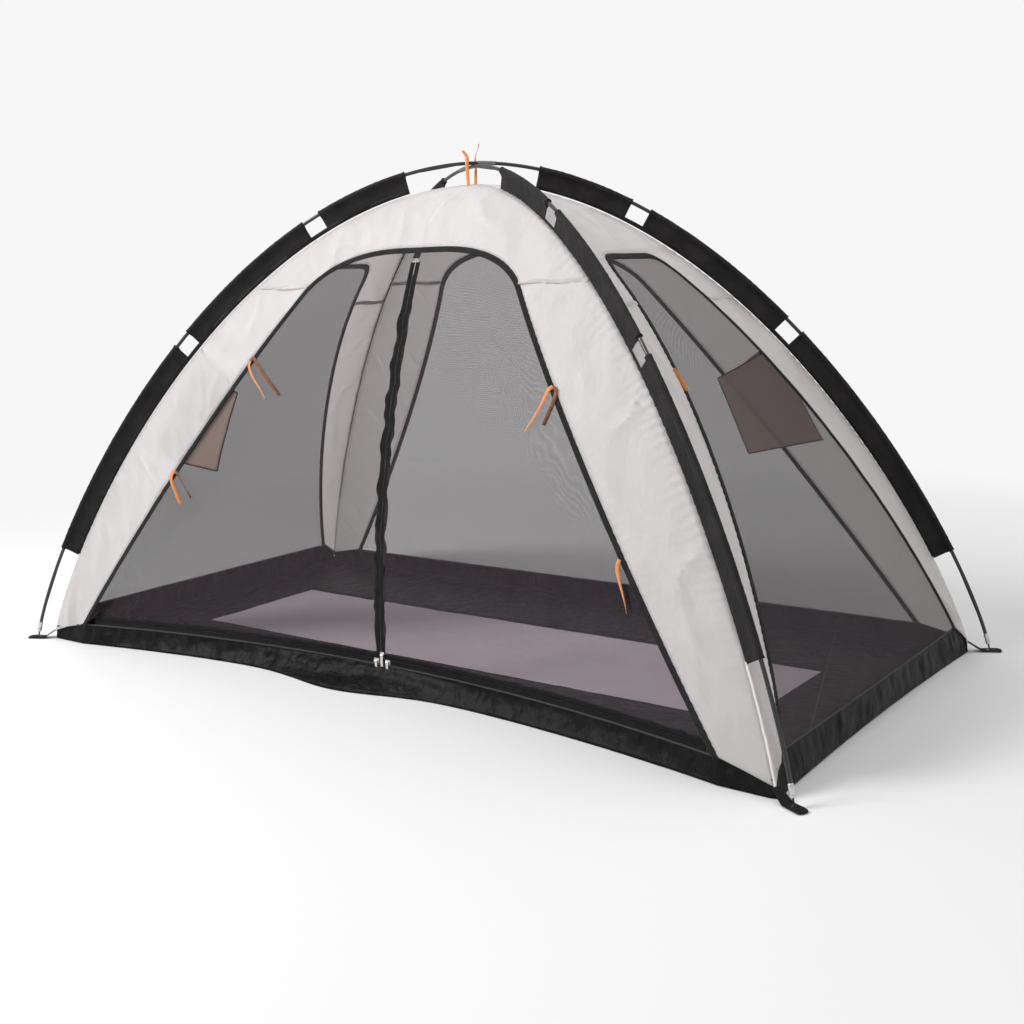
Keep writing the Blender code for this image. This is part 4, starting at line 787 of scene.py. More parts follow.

# %% [markdown]
# The door is netting with a zip up its middle and one along the sill. Each
# half is one net from the binding past a fold line to the zip.

# %% Door shape
ZIP_HEIGHT = 0.060
ZIP_TOP_HEIGHT = 0.900
ZIP_FOOT_DEPTH = 0.373
ZIP_TOP_DEPTH = 0.200439
ZIP_ARC_RADIUS = 2.1307765
SILL_END_DEPTH = 0.489663
SILL_ARC_RADIUS = 3.228137
DOOR_HINGE_FOOT_HALF = 0.842
HINGE_FOOT_HEIGHT = 0.050
ZIP_HALF_GAP = 0.0016
ZIP_TAPE_WIDTH = 0.011
ZIP_REACH = ZIP_HALF_GAP + ZIP_TAPE_WIDTH


def sill_depth(across):
    """How far the lower zip lies in front of the tent's middle."""
    half = np.minimum(np.abs(across), LONG_FOOT_HALF)
    return ZIP_FOOT_DEPTH + SILL_ARC_RADIUS - np.sqrt(SILL_ARC_RADIUS ** 2 - half ** 2)


def zip_depth(height):
    """How far the upright zip lies in front of the tent's middle."""
    return ZIP_FOOT_DEPTH - ZIP_ARC_RADIUS + np.sqrt(ZIP_ARC_RADIUS ** 2 - (height - ZIP_HEIGHT) ** 2)


def hinge_place(height):
    """Half distance and depth of a flap's straight fold line at a height."""
    share = (ZIP_TOP_HEIGHT - height) / (ZIP_TOP_HEIGHT - HINGE_FOOT_HEIGHT)
    return DOOR_HINGE_FOOT_HALF * share, ZIP_TOP_DEPTH + (SILL_END_DEPTH - ZIP_TOP_DEPTH) * share


def door_place(side, across, height):
    """Places on a flap: straight from the fold line to the zip, and bowed along the sill."""
    half, depth = hinge_place(height)
    share = across / np.maximum(half, 1e-4)
    ruled = zip_depth(height) + (depth - zip_depth(height)) * share
    sill_half, sill_end = hinge_place(ZIP_HEIGHT)
    line = ZIP_FOOT_DEPTH + (sill_end - ZIP_FOOT_DEPTH) * across / sill_half
    fade = (ZIP_TOP_HEIGHT - height) / (ZIP_TOP_HEIGHT - ZIP_HEIGHT)
    depth = ruled + (sill_depth(across) - line) * fade ** 2
    return np.stack([side * across, -depth, height + 0 * across], axis=-1)


# %% Door nets
DOOR_ROWS = 130
FIXED_COLUMNS, FLAP_COLUMNS = 8, 44
EASE_ROUNDS, EASED_COLUMNS = 14, 24
NET_FALL, NET_RIPPLE, NET_FOLD = 0.0035, 0.0014, 0.0024
FLAP_FOOT = ZIP_HEIGHT + ZIP_REACH - 0.002
front_side, front_out, front_window = WALLS["front"]
front_normal = wall_normal(front_side, front_out)
for side, hand in ((-1, "left"), (1, "right")):
    edge = even_along(window_side(front_window, NET_TUCK), DOOR_ROWS)
    foot, top = edge[0, 1], edge[-1, 1]
    low = FLAP_FOOT + (edge[:, 1] - foot) * (ZIP_TOP_HEIGHT - FLAP_FOOT) / (top - foot)
    fold, depth = hinge_place(low)
    outer = wall_place(front_side, front_out, side * edge[:, 0], edge[:, 1], 0.0005)
    inner = np.stack([side * fold, -depth, low], axis=-1)
    share = np.linspace(0, 1, FIXED_COLUMNS + 1)[None, :-1, None]
    fixed = outer[:, None] * (1 - share) + inner[:, None] * share
    near = np.minimum(ZIP_REACH - 0.003, fold)
    span = np.linspace(0, 1, FLAP_COLUMNS)[None, :]
    flap = door_place(side, fold[:, None] + (near - fold)[:, None] * span, low[:, None] + 0 * span)
    grid = np.concatenate([fixed, flap], axis=1)
    eased = grid.copy()
    for _ in range(EASE_ROUNDS):
        last, here, following = (eased[:, k:EASED_COLUMNS + k] for k in range(3))
        eased[:, 1:EASED_COLUMNS + 1] = (last + 2 * here + following) / 4
    grid[..., 1] = eased[..., 1]
    across = np.linspace(0, 1, grid.shape[1])[None, :]
    rise = np.linspace(0, 1, DOOR_ROWS)[:, None]
    quiet = np.clip(10 * across, 0, 1) * np.clip(12 * (1 - across), 0, 1)
    quiet = quiet * np.clip(10 * rise, 0, 1) * np.clip(6 * (1 - rise), 0, 1)
    pull, slant = grid * np.array([1.0, 1.0, 0.35]), grid * np.array([1.2, 1, 0.45])
    fall = NET_FALL * soft_noise(pull, 0.10, 41 + side) + NET_RIPPLE * soft_noise(grid, 0.045, 51 + side)
    creases = NET_FOLD * (1 - 2.6 * np.abs(soft_noise(slant, 0.13, 61 + side)))
    grid = grid + ((fall + creases) * quiet)[..., None] * front_normal
    piece = cloth(f"door_net_{hand}", grid, 0, NET)
    foot_half, foot_depth = hinge_place(HINGE_FOOT_HEIGHT)
    foot = np.array([side * foot_half, -foot_depth, HINGE_FOOT_HEIGHT])
    top = np.array([0, -ZIP_TOP_DEPTH, ZIP_TOP_HEIGHT])
    middle, fold_line = (foot + top) / 2, foot - top
    to_zip = np.cross(fold_line, front_normal)
    to_zip *= -side * np.sign(to_zip[0]) / np.linalg.norm(to_zip)
    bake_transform(piece)
    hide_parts("door_fixed_net", f"door_flap_net_{hand}")

# %% [markdown]
# A tent zip is a nylon coil sewn to a woven tape. Sewing a stiff tape to slack
# net makes it wander, so both zips run in shallow waves. Each flap carries
# the tape beside the upright and along the sill, and the tub carries the
# lower tape. Both halves have rows of teeth that meet in the gap.

# %% Zip tapes
TAPE_ROWS = 300
TAPE_LENGTH, TAPE_THICKNESS = 1.70, 0.0010
TAPE_LOOSE_BELOW, TAPE_LOOSE_ABOVE = 0.835, 0.085
TAPE_SPREAD, EDGE_FLUTTER = 0.0022, 0.0007
TEETH_APART_ABOVE, TEETH_APART = 0.860, 0.0013
TAPE_STITCH_COLUMN = 4
TOOTH_SINK = 0.0004
TOOTH_LAP = 0.0008
TIP_HEIGHT = ZIP_TOP_HEIGHT - 0.0115
SILL_END = hinge_place(ZIP_HEIGHT)[0] - 0.002
TOOTH_LINES = []


def zip_wander(run, seed):
    """Shallow waves of a zip tape, in metres across its face."""
    return 0.0016 * np.sin(run * 78 + seed) + 0.0010 * np.sin(run * 171 + 2 * seed)


def zip_sway(run, clear_end):
    """How far the closed zip sways sideways, none where the sliders rest."""
    sway = 0.0019 * np.sin(run * 71) + 0.0010 * np.sin(run * 128 + 1)
    return sway * np.clip((run - clear_end) / 0.05, 0, 1)


def tape(name, grid, node, body):
    """One flat length of zip tape, in place of its CAD node, on a body."""
    piece = cloth(name, grid, TAPE_THICKNESS, ZIP_TAPE)
    declare_cloth(piece, node, body)


def tape_stitches(body, grid):
    """A row of dark stitches along a tape, just in front of it."""
    STITCH_ROWS.append((body, "dark", grid[:, TAPE_STITCH_COLUMN] + np.array([0, -0.0003, 0])))


width = np.linspace(0, 1, 6)[None, :]
for side, hand in ((-1, "left"), (1, "right")):
    flap = f"flap_{hand}"
    height = np.linspace(TIP_HEIGHT, ZIP_HEIGHT + ZIP_REACH, TAPE_ROWS)
    near = ZIP_HALF_GAP + 0 * height
    far = np.minimum(ZIP_REACH, hinge_place(height)[0] + 0.002)
    loose = np.clip((TAPE_LOOSE_BELOW - height) / 0.05, 0, 1) * np.clip((height - TAPE_LOOSE_ABOVE) / 0.03, 0, 1)
    far = far + TAPE_SPREAD * loose
    across = near[:, None] * (1 - width) + far[:, None] * width
    depth = zip_depth(height)[:, None]
    upright = np.stack([side * across, 0 * across - depth, height[:, None] + 0 * across], axis=-1)
    upright[..., 0] += (zip_sway(height, 0.10) * loose)[:, None]
    upright[..., 0] += side * (EDGE_FLUTTER * np.sin(height * 190 + side) * loose)[:, None] * width
    upright[..., 1] -= (zip_wander(height, side) * loose)[:, None] * width
    turn = np.linspace(0, 1, 12)[1:-1, None]
    near_height = ZIP_HEIGHT + ZIP_REACH * (1 - turn) + ZIP_HALF_GAP * turn
    corner_across = (ZIP_HALF_GAP * (1 - width) + ZIP_REACH * width) + 0 * turn
    corner = door_place(side, corner_across, near_height * (1 - width) + (ZIP_HEIGHT + ZIP_REACH) * width)
    run = np.linspace(ZIP_HALF_GAP, SILL_END, TAPE_ROWS)
    start = np.clip((run - ZIP_HALF_GAP) / ZIP_TAPE_WIDTH, 0, 1)
    rises = ZIP_HEIGHT + ZIP_HALF_GAP * (1 - width) + ZIP_REACH * width + 0 * run[:, None]
    places = run[:, None] + (1 - start[:, None]) * width * ZIP_TAPE_WIDTH
    sill = door_place(side, places, rises)
    sill[..., 1] -= zip_wander(run, 3 + side)[:, None] * width
    tape(f"zip_tape_{hand}", np.concatenate([upright, corner, sill]), f"door_zip_tape_{hand}", flap)
    # The top few teeth stand apart, clear of the resting slider.
    teeth = upright[:, 0] + np.array([0, TOOTH_SINK, 0])
    teeth[:, 0] += side * (TEETH_APART * np.clip((height - TEETH_APART_ABOVE) / 0.004, 0, 1) - TOOTH_LAP)
    TOOTH_LINES.append((flap, teeth[::-1]))
    TOOTH_LINES.append((flap, sill[:, 0] + np.array([0, TOOTH_SINK, -0.0007])))
    tape_stitches(flap, upright)
    tape_stitches(flap, sill)
run = np.linspace(-SILL_END, SILL_END, 2 * TAPE_ROWS)
rises = ZIP_HEIGHT - ZIP_HALF_GAP * (1 - width) - ZIP_REACH * width + 0 * run[:, None]
lower_tape = np.stack([run[:, None] + 0 * width, 0 * rises - sill_depth(run)[:, None], rises], axis=-1)
tape("zip_tape_sill", lower_tape, "sill_zip_lower_tape", "tent")
TOOTH_LINES.append(("tent", lower_tape[:, 0] + np.array([0, TOOTH_SINK, 0.0007])))
tape_stitches("tent", lower_tape)

# %% Zip end patch
PATCH_HALF = 0.0090
patch_across = np.linspace(-PATCH_HALF, PATCH_HALF, 13)[None, :]
patch_height = np.linspace(0.8975, 0.9125, 12)[:, None]
patch = wall_place("long", -1, patch_across + 0 * patch_height, patch_height + 0 * patch_across)
patch[..., 1] -= 0.0012 + 0.0006 * (1 - (patch_across / PATCH_HALF) ** 4)
trim(cloth("zip_end_patch", patch, 0.0009, BINDING))
print("zip end patch done")

# %% [markdown]
# The floor is a shallow tub of coated black cloth, which keeps ground water
# out. Its walls rise to the hem where the net and the canopy are sewn on. The
# cloth is stiff enough to crease: short folds run down from the sewn hem, and
# below the zip the slack wall rolls outward in a belly.

# %% Tub
LONG_CORNER_HALF = float(LENGTH_SHARE * ridge_half(0.030))
END_CORNER_HALF = float(WIDTH_SHARE * ridge_half(0.030))
TUB_HALF_LENGTH, TUB_HALF_WIDTH = 0.972, 0.500
CORNER_HEIGHT, CORNER_INSET = 0.030, 0.004
FRONT_FOLD_HEIGHT, FRONT_FLARE = 0.030, 0.022
BELLY_DEPTH, BELLY_HALF_LENGTH, BELLY_OFFSET = 0.050, 0.170, 0.080
END_BOW = 0.012
FLOOR_HALF_LENGTH, FLOOR_HALF_WIDTH = 0.753, 0.182
FRONT_HEM = ZIP_HEIGHT - ZIP_REACH - 0.0003
BACK_HEM, END_HEM = 0.0497, 0.0637
BELLY_LEAN = 0.35
WALL_STEPS, FLOOR_STEPS = 14, 10
LONG_STEPS, END_STEPS = 321, 161


def wall_top(across, window_half, corner_half, height):
    """Top of a wall: level under a window, and falling to the corners."""
    share = np.maximum(0, (np.abs(across) - window_half) / (corner_half - window_half))
    return height + (CORNER_HEIGHT - height) * share


def front_profile(across):
    """Foot, fold and top of the front wall."""
    height = wall_top(across, LONG_FOOT_HALF, LONG_CORNER_HALF, FRONT_HEM)
    depth = sill_depth(across)
    past = np.maximum(0, (np.abs(across) - LONG_FOOT_HALF) / (LONG_CORNER_HALF - LONG_FOOT_HALF))
    depth = depth + (END_CORNER_HALF - depth) * past
    level = 1 - np.minimum(1, np.abs(across) / LONG_CORNER_HALF) ** 2
    belly = BELLY_DEPTH * np.exp(-((across + BELLY_OFFSET) / BELLY_HALF_LENGTH) ** 2)
    reach = depth + CORNER_INSET + FRONT_FLARE * level + belly
    foot = np.stack([across, -reach, 0 * across], -1)
    fold = np.stack([across, -depth - BELLY_LEAN * belly, FRONT_FOLD_HEIGHT * height / FRONT_HEM], -1)
    return foot, fold, np.stack([across, -depth, height], -1)


def back_profile(across):
    """Foot, fold and top of the back wall."""
    height = wall_top(across, LONG_FOOT_HALF, LONG_CORNER_HALF, BACK_HEM)
    level = np.minimum(1, np.abs(across) / LONG_CORNER_HALF)
    depth = WIDTH_SHARE * ridge_half(height) - CORNER_INSET * level ** 4
    foot = np.stack([across, TUB_HALF_WIDTH + 0 * across, 0 * across], -1)
    head = np.stack([across, depth, height], -1)
    return foot, (foot + head) / 2, head


def end_profile(across, side):
    """Foot, fold and top of an end wall."""
    height = wall_top(across, END_FOOT_HALF, END_CORNER_HALF, END_HEM)
    level = np.minimum(1, np.abs(across) / END_CORNER_HALF)
    reach = LENGTH_SHARE * ridge_half(height) - CORNER_INSET * level ** 4
    foot = np.stack([side * (TUB_HALF_LENGTH - END_BOW * (1 - level ** 2)), across, 0 * across], -1)
    head = np.stack([side * reach, across, height], -1)
    return foot, (foot + head) / 2, head


def round_profile(foot, fold, top):
    """Points from foot to top on a soft curve through the fold."""
    t = np.linspace(0, 1, WALL_STEPS)[None, :, None]
    middle = 2 * fold - 0.5 * foot - 0.5 * top
    return foot[:, None] * (1 - t) ** 2 + 2 * middle[:, None] * t * (1 - t) + top[:, None] * t ** 2


def tub_loop():
    """Rows round the tub: floor edge, wall foot, fold and top."""
    long_side = np.linspace(-1, 1, LONG_STEPS)[:-1]
    end_side = np.linspace(-1, 1, END_STEPS)[:-1]
    level_long, level_end = 0 * long_side, 0 * end_side
    walls = [
        (long_side, level_long - 1, front_profile(LONG_CORNER_HALF * long_side)),
        (level_end + 1, end_side, end_profile(END_CORNER_HALF * end_side, 1)),
        (-long_side, level_long + 1, back_profile(-LONG_CORNER_HALF * long_side)),
        (level_end - 1, -end_side, end_profile(-END_CORNER_HALF * end_side, -1)),
    ]
    t = np.linspace(0, 1, FLOOR_STEPS)[None, :-1, None]
    rows = []
    for x, y, (foot, fold, top) in walls:
        floor_edge = np.stack([FLOOR_HALF_LENGTH * x, FLOOR_HALF_WIDTH * y, 0 * x], -1)
        ground = floor_edge[:, None] * (1 - t) + foot[:, None] * t
        rows.append(np.concatenate([ground, round_profile(foot, fold, top)], axis=1))
    return np.concatenate(rows)


GATHER_HEIGHT, GATHER_PITCH = 0.0016, 0.034
DROOP_HEIGHT, CRUMPLE_HEIGHT = 0.0034, 0.0024
ROLL_HEIGHT, ROLL_PITCH, ROLL_DROOP, ROLL_REACH = 0.0055, 0.030, 0.0035, 0.24
LEVEL_SHARE = np.array([1, 1, 0.4])
GROUND_GAP, GROUND_BUMP, TUB_THICKNESS = 0.0007, 0.0011, 0.0006
tub = tub_loop()
run = run_along(tub[:, -1])[:, None]
rise = np.concatenate([np.zeros(FLOOR_STEPS - 1), np.linspace(0, 1, WALL_STEPS)])[None, :]
outward = grid_normals(tub)
outward = outward * np.sign(np.sum(outward * tub, axis=2, keepdims=True))
gather = np.sin(run * 2 * pi / GATHER_PITCH + 3 * soft_noise(tub, 0.09, 71))
droop = 1 - 2.3 * np.abs(soft_noise(tub * LEVEL_SHARE, 0.05, 72))
on_wall = np.clip(rise * 2.5, 0, 1) * (1 - rise ** 3)
crumple = CRUMPLE_HEIGHT * soft_noise(tub, 0.025, 73)
swell = (GATHER_HEIGHT * gather * rise + DROOP_HEIGHT * droop + crumple) * on_wall
in_belly = np.exp(-((tub[..., 0] + BELLY_OFFSET) / ROLL_REACH) ** 2) * (tub[..., 1] < -0.3)
rolls = ROLL_HEIGHT * np.sin(tub[..., 2] * 2 * pi / ROLL_PITCH + 5 * soft_noise(tub, 0.16, 74))
rolls = rolls + ROLL_DROOP * droop
swell = swell + rolls * in_belly * on_wall
tub = tub + swell[..., None] * outward * LEVEL_SHARE
bumps = np.clip(0.5 + soft_noise(tub, 0.08, 75) + 0.6 * soft_noise(tub, 0.03, 76), 0, 1)
lift = GROUND_GAP + GROUND_BUMP * bumps * (1 - rise)
lift = lift * np.clip(np.arange(tub.shape[1])[None, :] / 3, 0.3, 1)
tub[..., 2] = np.maximum(tub[..., 2], lift + TUB_THICKNESS)
tub_piece = cloth("tub_cloth", tub, TUB_THICKNESS, TUB, wrap=True)
declare_cloth(tub_piece, "tub_floor")

# %% [markdown]
# A cord-filled piping closes the hem on all four sides, with a row of
# stitches under it. The light panel in the middle of the floor is a separate
# cloth, sewn in flat.

# %% Hem piping and floor panel
FLOOR_LAP, FLOOR_GAP, FLOOR_BUMP = 0.003, 0.0016, 0.0010
PIPING_RADIUS = 0.0021
FLOOR_SEAM_ENDS = [0.962, -0.400], [0.672, 0.462]


def tube(name, line, radius, finish, sides=10, closed=False):
    """A round tube along a line of points."""
    line = np.asarray(line, dtype=float)
    count = len(line)
    before = np.roll(line, 1, axis=0) if closed else np.concatenate([line[:1], line[:-1]])
    after = np.roll(line, -1, axis=0) if closed else np.concatenate([line[1:], line[-1:]])
    along = after - before
    along /= np.linalg.norm(along, axis=1, keepdims=True)
    up = np.array([0, 0, 1.0]) if np.abs(along[:, 2]).max() < 0.97 else np.array([0.6, -0.8, 0])
    wide = np.cross(along, up)
    wide /= np.linalg.norm(wide, axis=1, keepdims=True)
    high = np.cross(wide, along)
    radius = np.broadcast_to(np.asarray(radius, dtype=float), (count,))
    turns = np.linspace(0, 2 * pi, sides, endpoint=False)
    circle = wide[:, None] * np.cos(turns)[None, :, None] + high[:, None] * np.sin(turns)[None, :, None]
    ring = line[:, None] + radius[:, None, None] * circle
    uvs = np.stack(np.broadcast_arrays(turns[None, :] * radius.mean(), run_along(line)[:, None]), axis=-1)
    faces = []
    for i in range(count if closed else count - 1):
        j = (i + 1) % count
        for k in range(sides):
            m = (k + 1) % sides
            faces.append((i * sides + k, i * sides + m, j * sides + m, j * sides + k))
    if not closed:
        faces += [tuple(range(sides))[::-1], tuple((count - 1) * sides + k for k in range(sides))]
    return face_outward(mesh_from(name, ring.reshape(-1, 3), faces, uvs.reshape(-1, 2), finish))


hem = tub[:, -1] + np.array([0, 0, 0.0002]) + 0.0005 * soft_noise(tub[:, -1], 0.03, 77)[:, None]
trim(tube("hem_piping", hem, PIPING_RADIUS, HEM, closed=True))
under_hem = tub[:, -2] + 0.0004 * outward[:, -2]
STITCH_ROWS.append(("tent", "dark", np.concatenate([under_hem, under_hem[:1]])))
floor_seam = np.linspace(*FLOOR_SEAM_ENDS, 260)
floor_points = tub[:, :FLOOR_STEPS].reshape(-1, 3)
nearest = [np.argmin(np.sum((floor_points[:, :2] - place) ** 2, axis=1)) for place in floor_seam]
seam_height = np.convolve(floor_points[nearest, 2], np.ones(9) / 9, mode="same")
STITCH_ROWS.append(("tent", "pale", np.column_stack([floor_seam, np.maximum(seam_height, 0.0020) + 0.0013])))
x = np.linspace(-1, 1, 150)[:, None] * (FLOOR_HALF_LENGTH + FLOOR_LAP)
y = np.linspace(-1, 1, 44)[None, :] * (FLOOR_HALF_WIDTH + FLOOR_LAP)
floor_grid = np.stack([x + 0 * y, y + 0 * x, FLOOR_GAP + 0 * x * y], axis=-1)
bumps = soft_noise(floor_grid * np.array([0.6, 1, 1]), 0.09, 81) + 0.5 * soft_noise(floor_grid, 0.03, 82)
floor_grid[..., 2] += FLOOR_BUMP * np.clip(0.4 + bumps, 0, 1.3)
floor_piece = cloth("light_floor", floor_grid, 0, FLOOR_CLOTH)
if floor_piece.data.polygons[0].normal.z < 0:
    floor_piece.data.flip_normals()
declare_cloth(floor_piece, "floor_centre_panel")

# %% [markdown]
# Each pole is six fibreglass sections joined by ferrules and threaded on an
# elastic cord, bent into an arch from corner to corner. The first crosses
# over the second at the crown, and both stand a little apart there. Every
# section is a round tube along its own stretch of the arch.

# %% Poles
POLE_RADIUS = 0.00395
FERRULE_RADIUS = 0.0049
FERRULE_REACH = 0.020
POLE_LIFT = POLE_RADIUS + 0.0002
POLES = {"pole_a": (-1, POLE_LIFT), "pole_b": (1, -POLE_LIFT)}
POLE_FOOT_RUN = run_at_height(0.020)
SECTION_JOINTS = [0.570, 1.1195, 1.7041, 2.2186, 2.7682]
FERRULE_RUNS = np.array([-1, -0.985, -0.95, -0.9, -0.4, 0.4, 0.9, 0.95, 0.985, 1]) * FERRULE_REACH
FERRULE_NECKS = np.array([0.0007, 0.0002, 0, 0.00025, 0, 0, 0.00025, 0, 0.0002, 0.0007])
# Pole, corner of its arm, and whether the arm starts from the far end of the arch.
ARMS = [("pole_a", "front_left", False), ("pole_a", "back_right", True),
        ("pole_b", "front_right", False), ("pole_b", "back_left", True)]


def pole_line(pole, runs, inward=0.0):
    """Places along a pole at arch lengths, moved inward in its own plane."""
    side, lift = POLES[pole]
    u = np.interp(runs, CURVE_RUN, CURVE_U) + inward * np.interp(runs, CURVE_RUN, INWARD_U)
    z = np.interp(runs, CURVE_RUN, CURVE_Z) * (1 + lift / CROWN_HEIGHT)
    z = z + inward * np.interp(runs, CURVE_RUN, INWARD_Z)
    return np.stack([u * side * LENGTH_SHARE, -u * WIDTH_SHARE, z], axis=-1)


def from_foot(runs, far):
    """Arch lengths for lengths that start at an arm's own foot."""
    return ARCH_LENGTH - runs if far else runs


def across_pole(pole):
    """Level direction square to a pole's plane."""
    return np.cross([0, 0, 1.0], [POLES[pole][0] * LENGTH_SHARE, -WIDTH_SHARE, 0])


for pole in POLES:
    ends = [POLE_FOOT_RUN] + SECTION_JOINTS + [ARCH_LENGTH - POLE_FOOT_RUN]
    for k, (a, b) in enumerate(zip(ends, ends[1:])):
        line = pole_line(pole, np.linspace(a, b, max(12, int((b - a) / 0.008))))
        piece = tube(f"{pole}_tube_{k + 1}", line, POLE_RADIUS, POLE, sides=16)
        plain_piece(piece, f"{pole}_section_{k + 1}")
    for k, joint in enumerate(SECTION_JOINTS):
        line, radii = pole_line(pole, joint + FERRULE_RUNS), FERRULE_RADIUS - FERRULE_NECKS
        trim(tube(f"{pole}_ferrule_{k + 1}", line, radii, FERRULE, sides=20))
print("poles done")

# %% [markdown]
# Each foot has a plated cap with a thin pin under it. The pin goes through
# the eyelet of a webbing tab at the tub's corner and stands on the ground.

# %% Pole tips
PIN_RADIUS, CAP_RADIUS = 0.0020, 0.0052
GROOVE_RADIUS = 0.0049
LOW_RUN = run_at_height(0.0012)
# Radii along a tip: the pin from its lowest point, then the cap from the pole's foot.
PIN_PROFILE = [(0, 0.0008), (0.0006, 0.0016), (0.0016, PIN_RADIUS)]
CAP_PROFILE = [(-0.0030, PIN_RADIUS), (-0.0022, 0.0034), (-0.0016, 0.0048), (-0.0008, CAP_RADIUS),
               (0.0040, CAP_RADIUS), (0.0044, GROOVE_RADIUS), (0.0052, GROOVE_RADIUS), (0.0056, CAP_RADIUS),
               (0.0205, CAP_RADIUS), (0.0215, 0.0048), (0.0220, 0.0041)]
tip_profile = [(LOW_RUN + r, w) for r, w in PIN_PROFILE] + [(POLE_FOOT_RUN + r, w) for r, w in CAP_PROFILE]
tip_runs, tip_radii = np.array(tip_profile).T
for pole, end, far in ARMS:
    order = -1 if far else 1
    line = pole_line(pole, from_foot(tip_runs, far)[::order])
    piece = tube(f"tip_{end}", line, tip_radii[::order], PLATED, sides=28)
    plain_piece(piece, f"pole_tip_{end}")
print("tips done")

# %% [markdown]
# The poles run in black sleeves of ripstop cloth. Each sleeve is a loose tube
# in three lengths on every arm, and its doubled tail is sewn into the canopy
# seam below. Between the lengths the pole and its tail strip show. The tube
# is not round: its cloth lies slack, ripples along the pole and flares a
# little at each open end.

# %% Pole sleeves
SLEEVE_RUNS = [(0.2464, 0.8308), (0.8758, 1.2536), (1.2986, 1.5156)]
SLEEVE_RADIUS = 0.0061
TAIL_HALF = 0.0006
STRIP_WIDTH = 0.008
SLEEVE_GAP, SLEEVE_SLACK, SLEEVE_RIPPLE = 0.0004, 0.0007, 0.0004
END_FLARE, TAIL_LEAN = 0.0012, 0.0020
SEAM_UNDER = 0.001
TAIL_SHARES = (0.30, 0.55, 0.80, 1.0)
TAIL_STITCH_COLUMN = 19


def sleeve_grid(pole, a, b, far, seed):
    """Closed section of a sleeve and its tail along one length of pole."""
    runs = np.linspace(a, b, int((b - a) / 0.0035))
    line = pole_line(pole, from_foot(runs, far))
    ridge = pole_line(pole, from_foot(runs, far), RIDGE_OFFSET + SEAM_UNDER)
    down = ridge - line
    drop = np.linalg.norm(down, axis=1, keepdims=True)
    down /= drop
    across = across_pole(pole)
    slack = SLEEVE_SLACK * soft_noise(line, 0.03, seed) + SLEEVE_RIPPLE * np.sin(runs * 2 * pi / 0.017 + seed)
    flare = END_FLARE * (np.exp(-(runs - a) / 0.004) + np.exp(-(b - runs) / 0.004))
    middle = np.sin(pi * np.clip((runs - a) / (b - a), 0, 1)) ** 0.5
    lean = TAIL_LEAN * soft_noise(line, 0.07, seed + 2) * middle
    columns = []
    for turn in np.linspace(radians(32), radians(328), 17):
        local = slack * np.sin(3 * turn + runs * 40) + flare
        radius = SLEEVE_RADIUS + SLEEVE_GAP + np.abs(local)
        columns.append(line + down * (np.cos(turn) * radius)[:, None] + across * (np.sin(turn) * radius)[:, None])
    for shares, half in ((TAIL_SHARES, -TAIL_HALF), (TAIL_SHARES[::-1], TAIL_HALF)):
        for share in shares:
            columns.append(line + down * drop * share + across * (half + lean * sin(share * pi))[:, None])
    return np.stack(columns, axis=0)


def closed_section(name, grid, finish):
    """A tube-like body from columns that close on themselves, with both ends capped."""
    columns, rows = grid.shape[:2]
    uvs = grid_uv(grid.transpose(1, 0, 2)).transpose(1, 0, 2)
    faces = [tuple(f) for f in grid_quads(columns, rows, wrap=True)]
    faces += [tuple(c * rows for c in range(columns)), tuple(c * rows + rows - 1 for c in range(columns))[::-1]]
    return face_outward(mesh_from(name, grid.reshape(-1, 3), faces, uvs.reshape(-1, 2), finish))


def join_pieces(name, pieces):
    """One object from several that share a body."""
    with bpy.context.temp_override(active_object=pieces[0], selected_editable_objects=pieces):
        bpy.ops.object.join()
    pieces[0].name = name
    return pieces[0]


strip_runs = np.linspace(SLEEVE_RUNS[0][0], SLEEVE_RUNS[-1][1], 260)
for pole, end, far in ARMS:
    parts = []
    for k, (a, b) in enumerate(SLEEVE_RUNS):
        grid = sleeve_grid(pole, a, b, far, 90 + 7 * k + len(end))
        parts.append(closed_section(f"sleeve_{end}_{k + 1}", grid, SLEEVE))
        STITCH_ROWS.append(("tent", "dark", grid[TAIL_STITCH_COLUMN]))
    runs = from_foot(strip_runs, far)
    low, high = (pole_line(pole, runs, RIDGE_OFFSET + inward) for inward in (SEAM_UNDER, -STRIP_WIDTH))
    half = across_pole(pole) * TAIL_HALF
    strip = np.stack([low + half, high + half, high - half, low - half], axis=0)
    parts.append(closed_section(f"sleeve_{end}_strip", strip, SLEEVE))
    piece = join_pieces(f"sleeve_{end}", parts)
    plain_piece(piece, f"pole_sleeve_{end}")

# %% [markdown]
# Below the sleeves the two walls meet in a plain corner seam: their edges are
# folded together into a narrow round welt that runs down to the hem.

# %% Corner seams
WELT_RADIUS, WELT_LIFT, WELT_WANDER = 0.0024, 0.0006, 0.0004
seam_runs = np.linspace(FOOT_EDGE_RUN - 0.003, SLEEVE_RUNS[0][0] + 0.004, 70)
for pole, end, far in ARMS:
    line = pole_line(pole, from_foot(seam_runs, far), RIDGE_OFFSET + WELT_LIFT)
    line = line + WELT_WANDER * soft_noise(line, 0.02, 97)[:, None]
    trim(tube(f"corner_seam_{end}", line, WELT_RADIUS, SEAM))
print("corner seams done")

# %% [markdown]
# A webbing tab at each corner carries a plated eyelet for the pole's pin. It
# is flat nylon tape 24 mm wide that climbs from the ground to the tub's
# corner seam, with its edges slightly thicker than its middle.

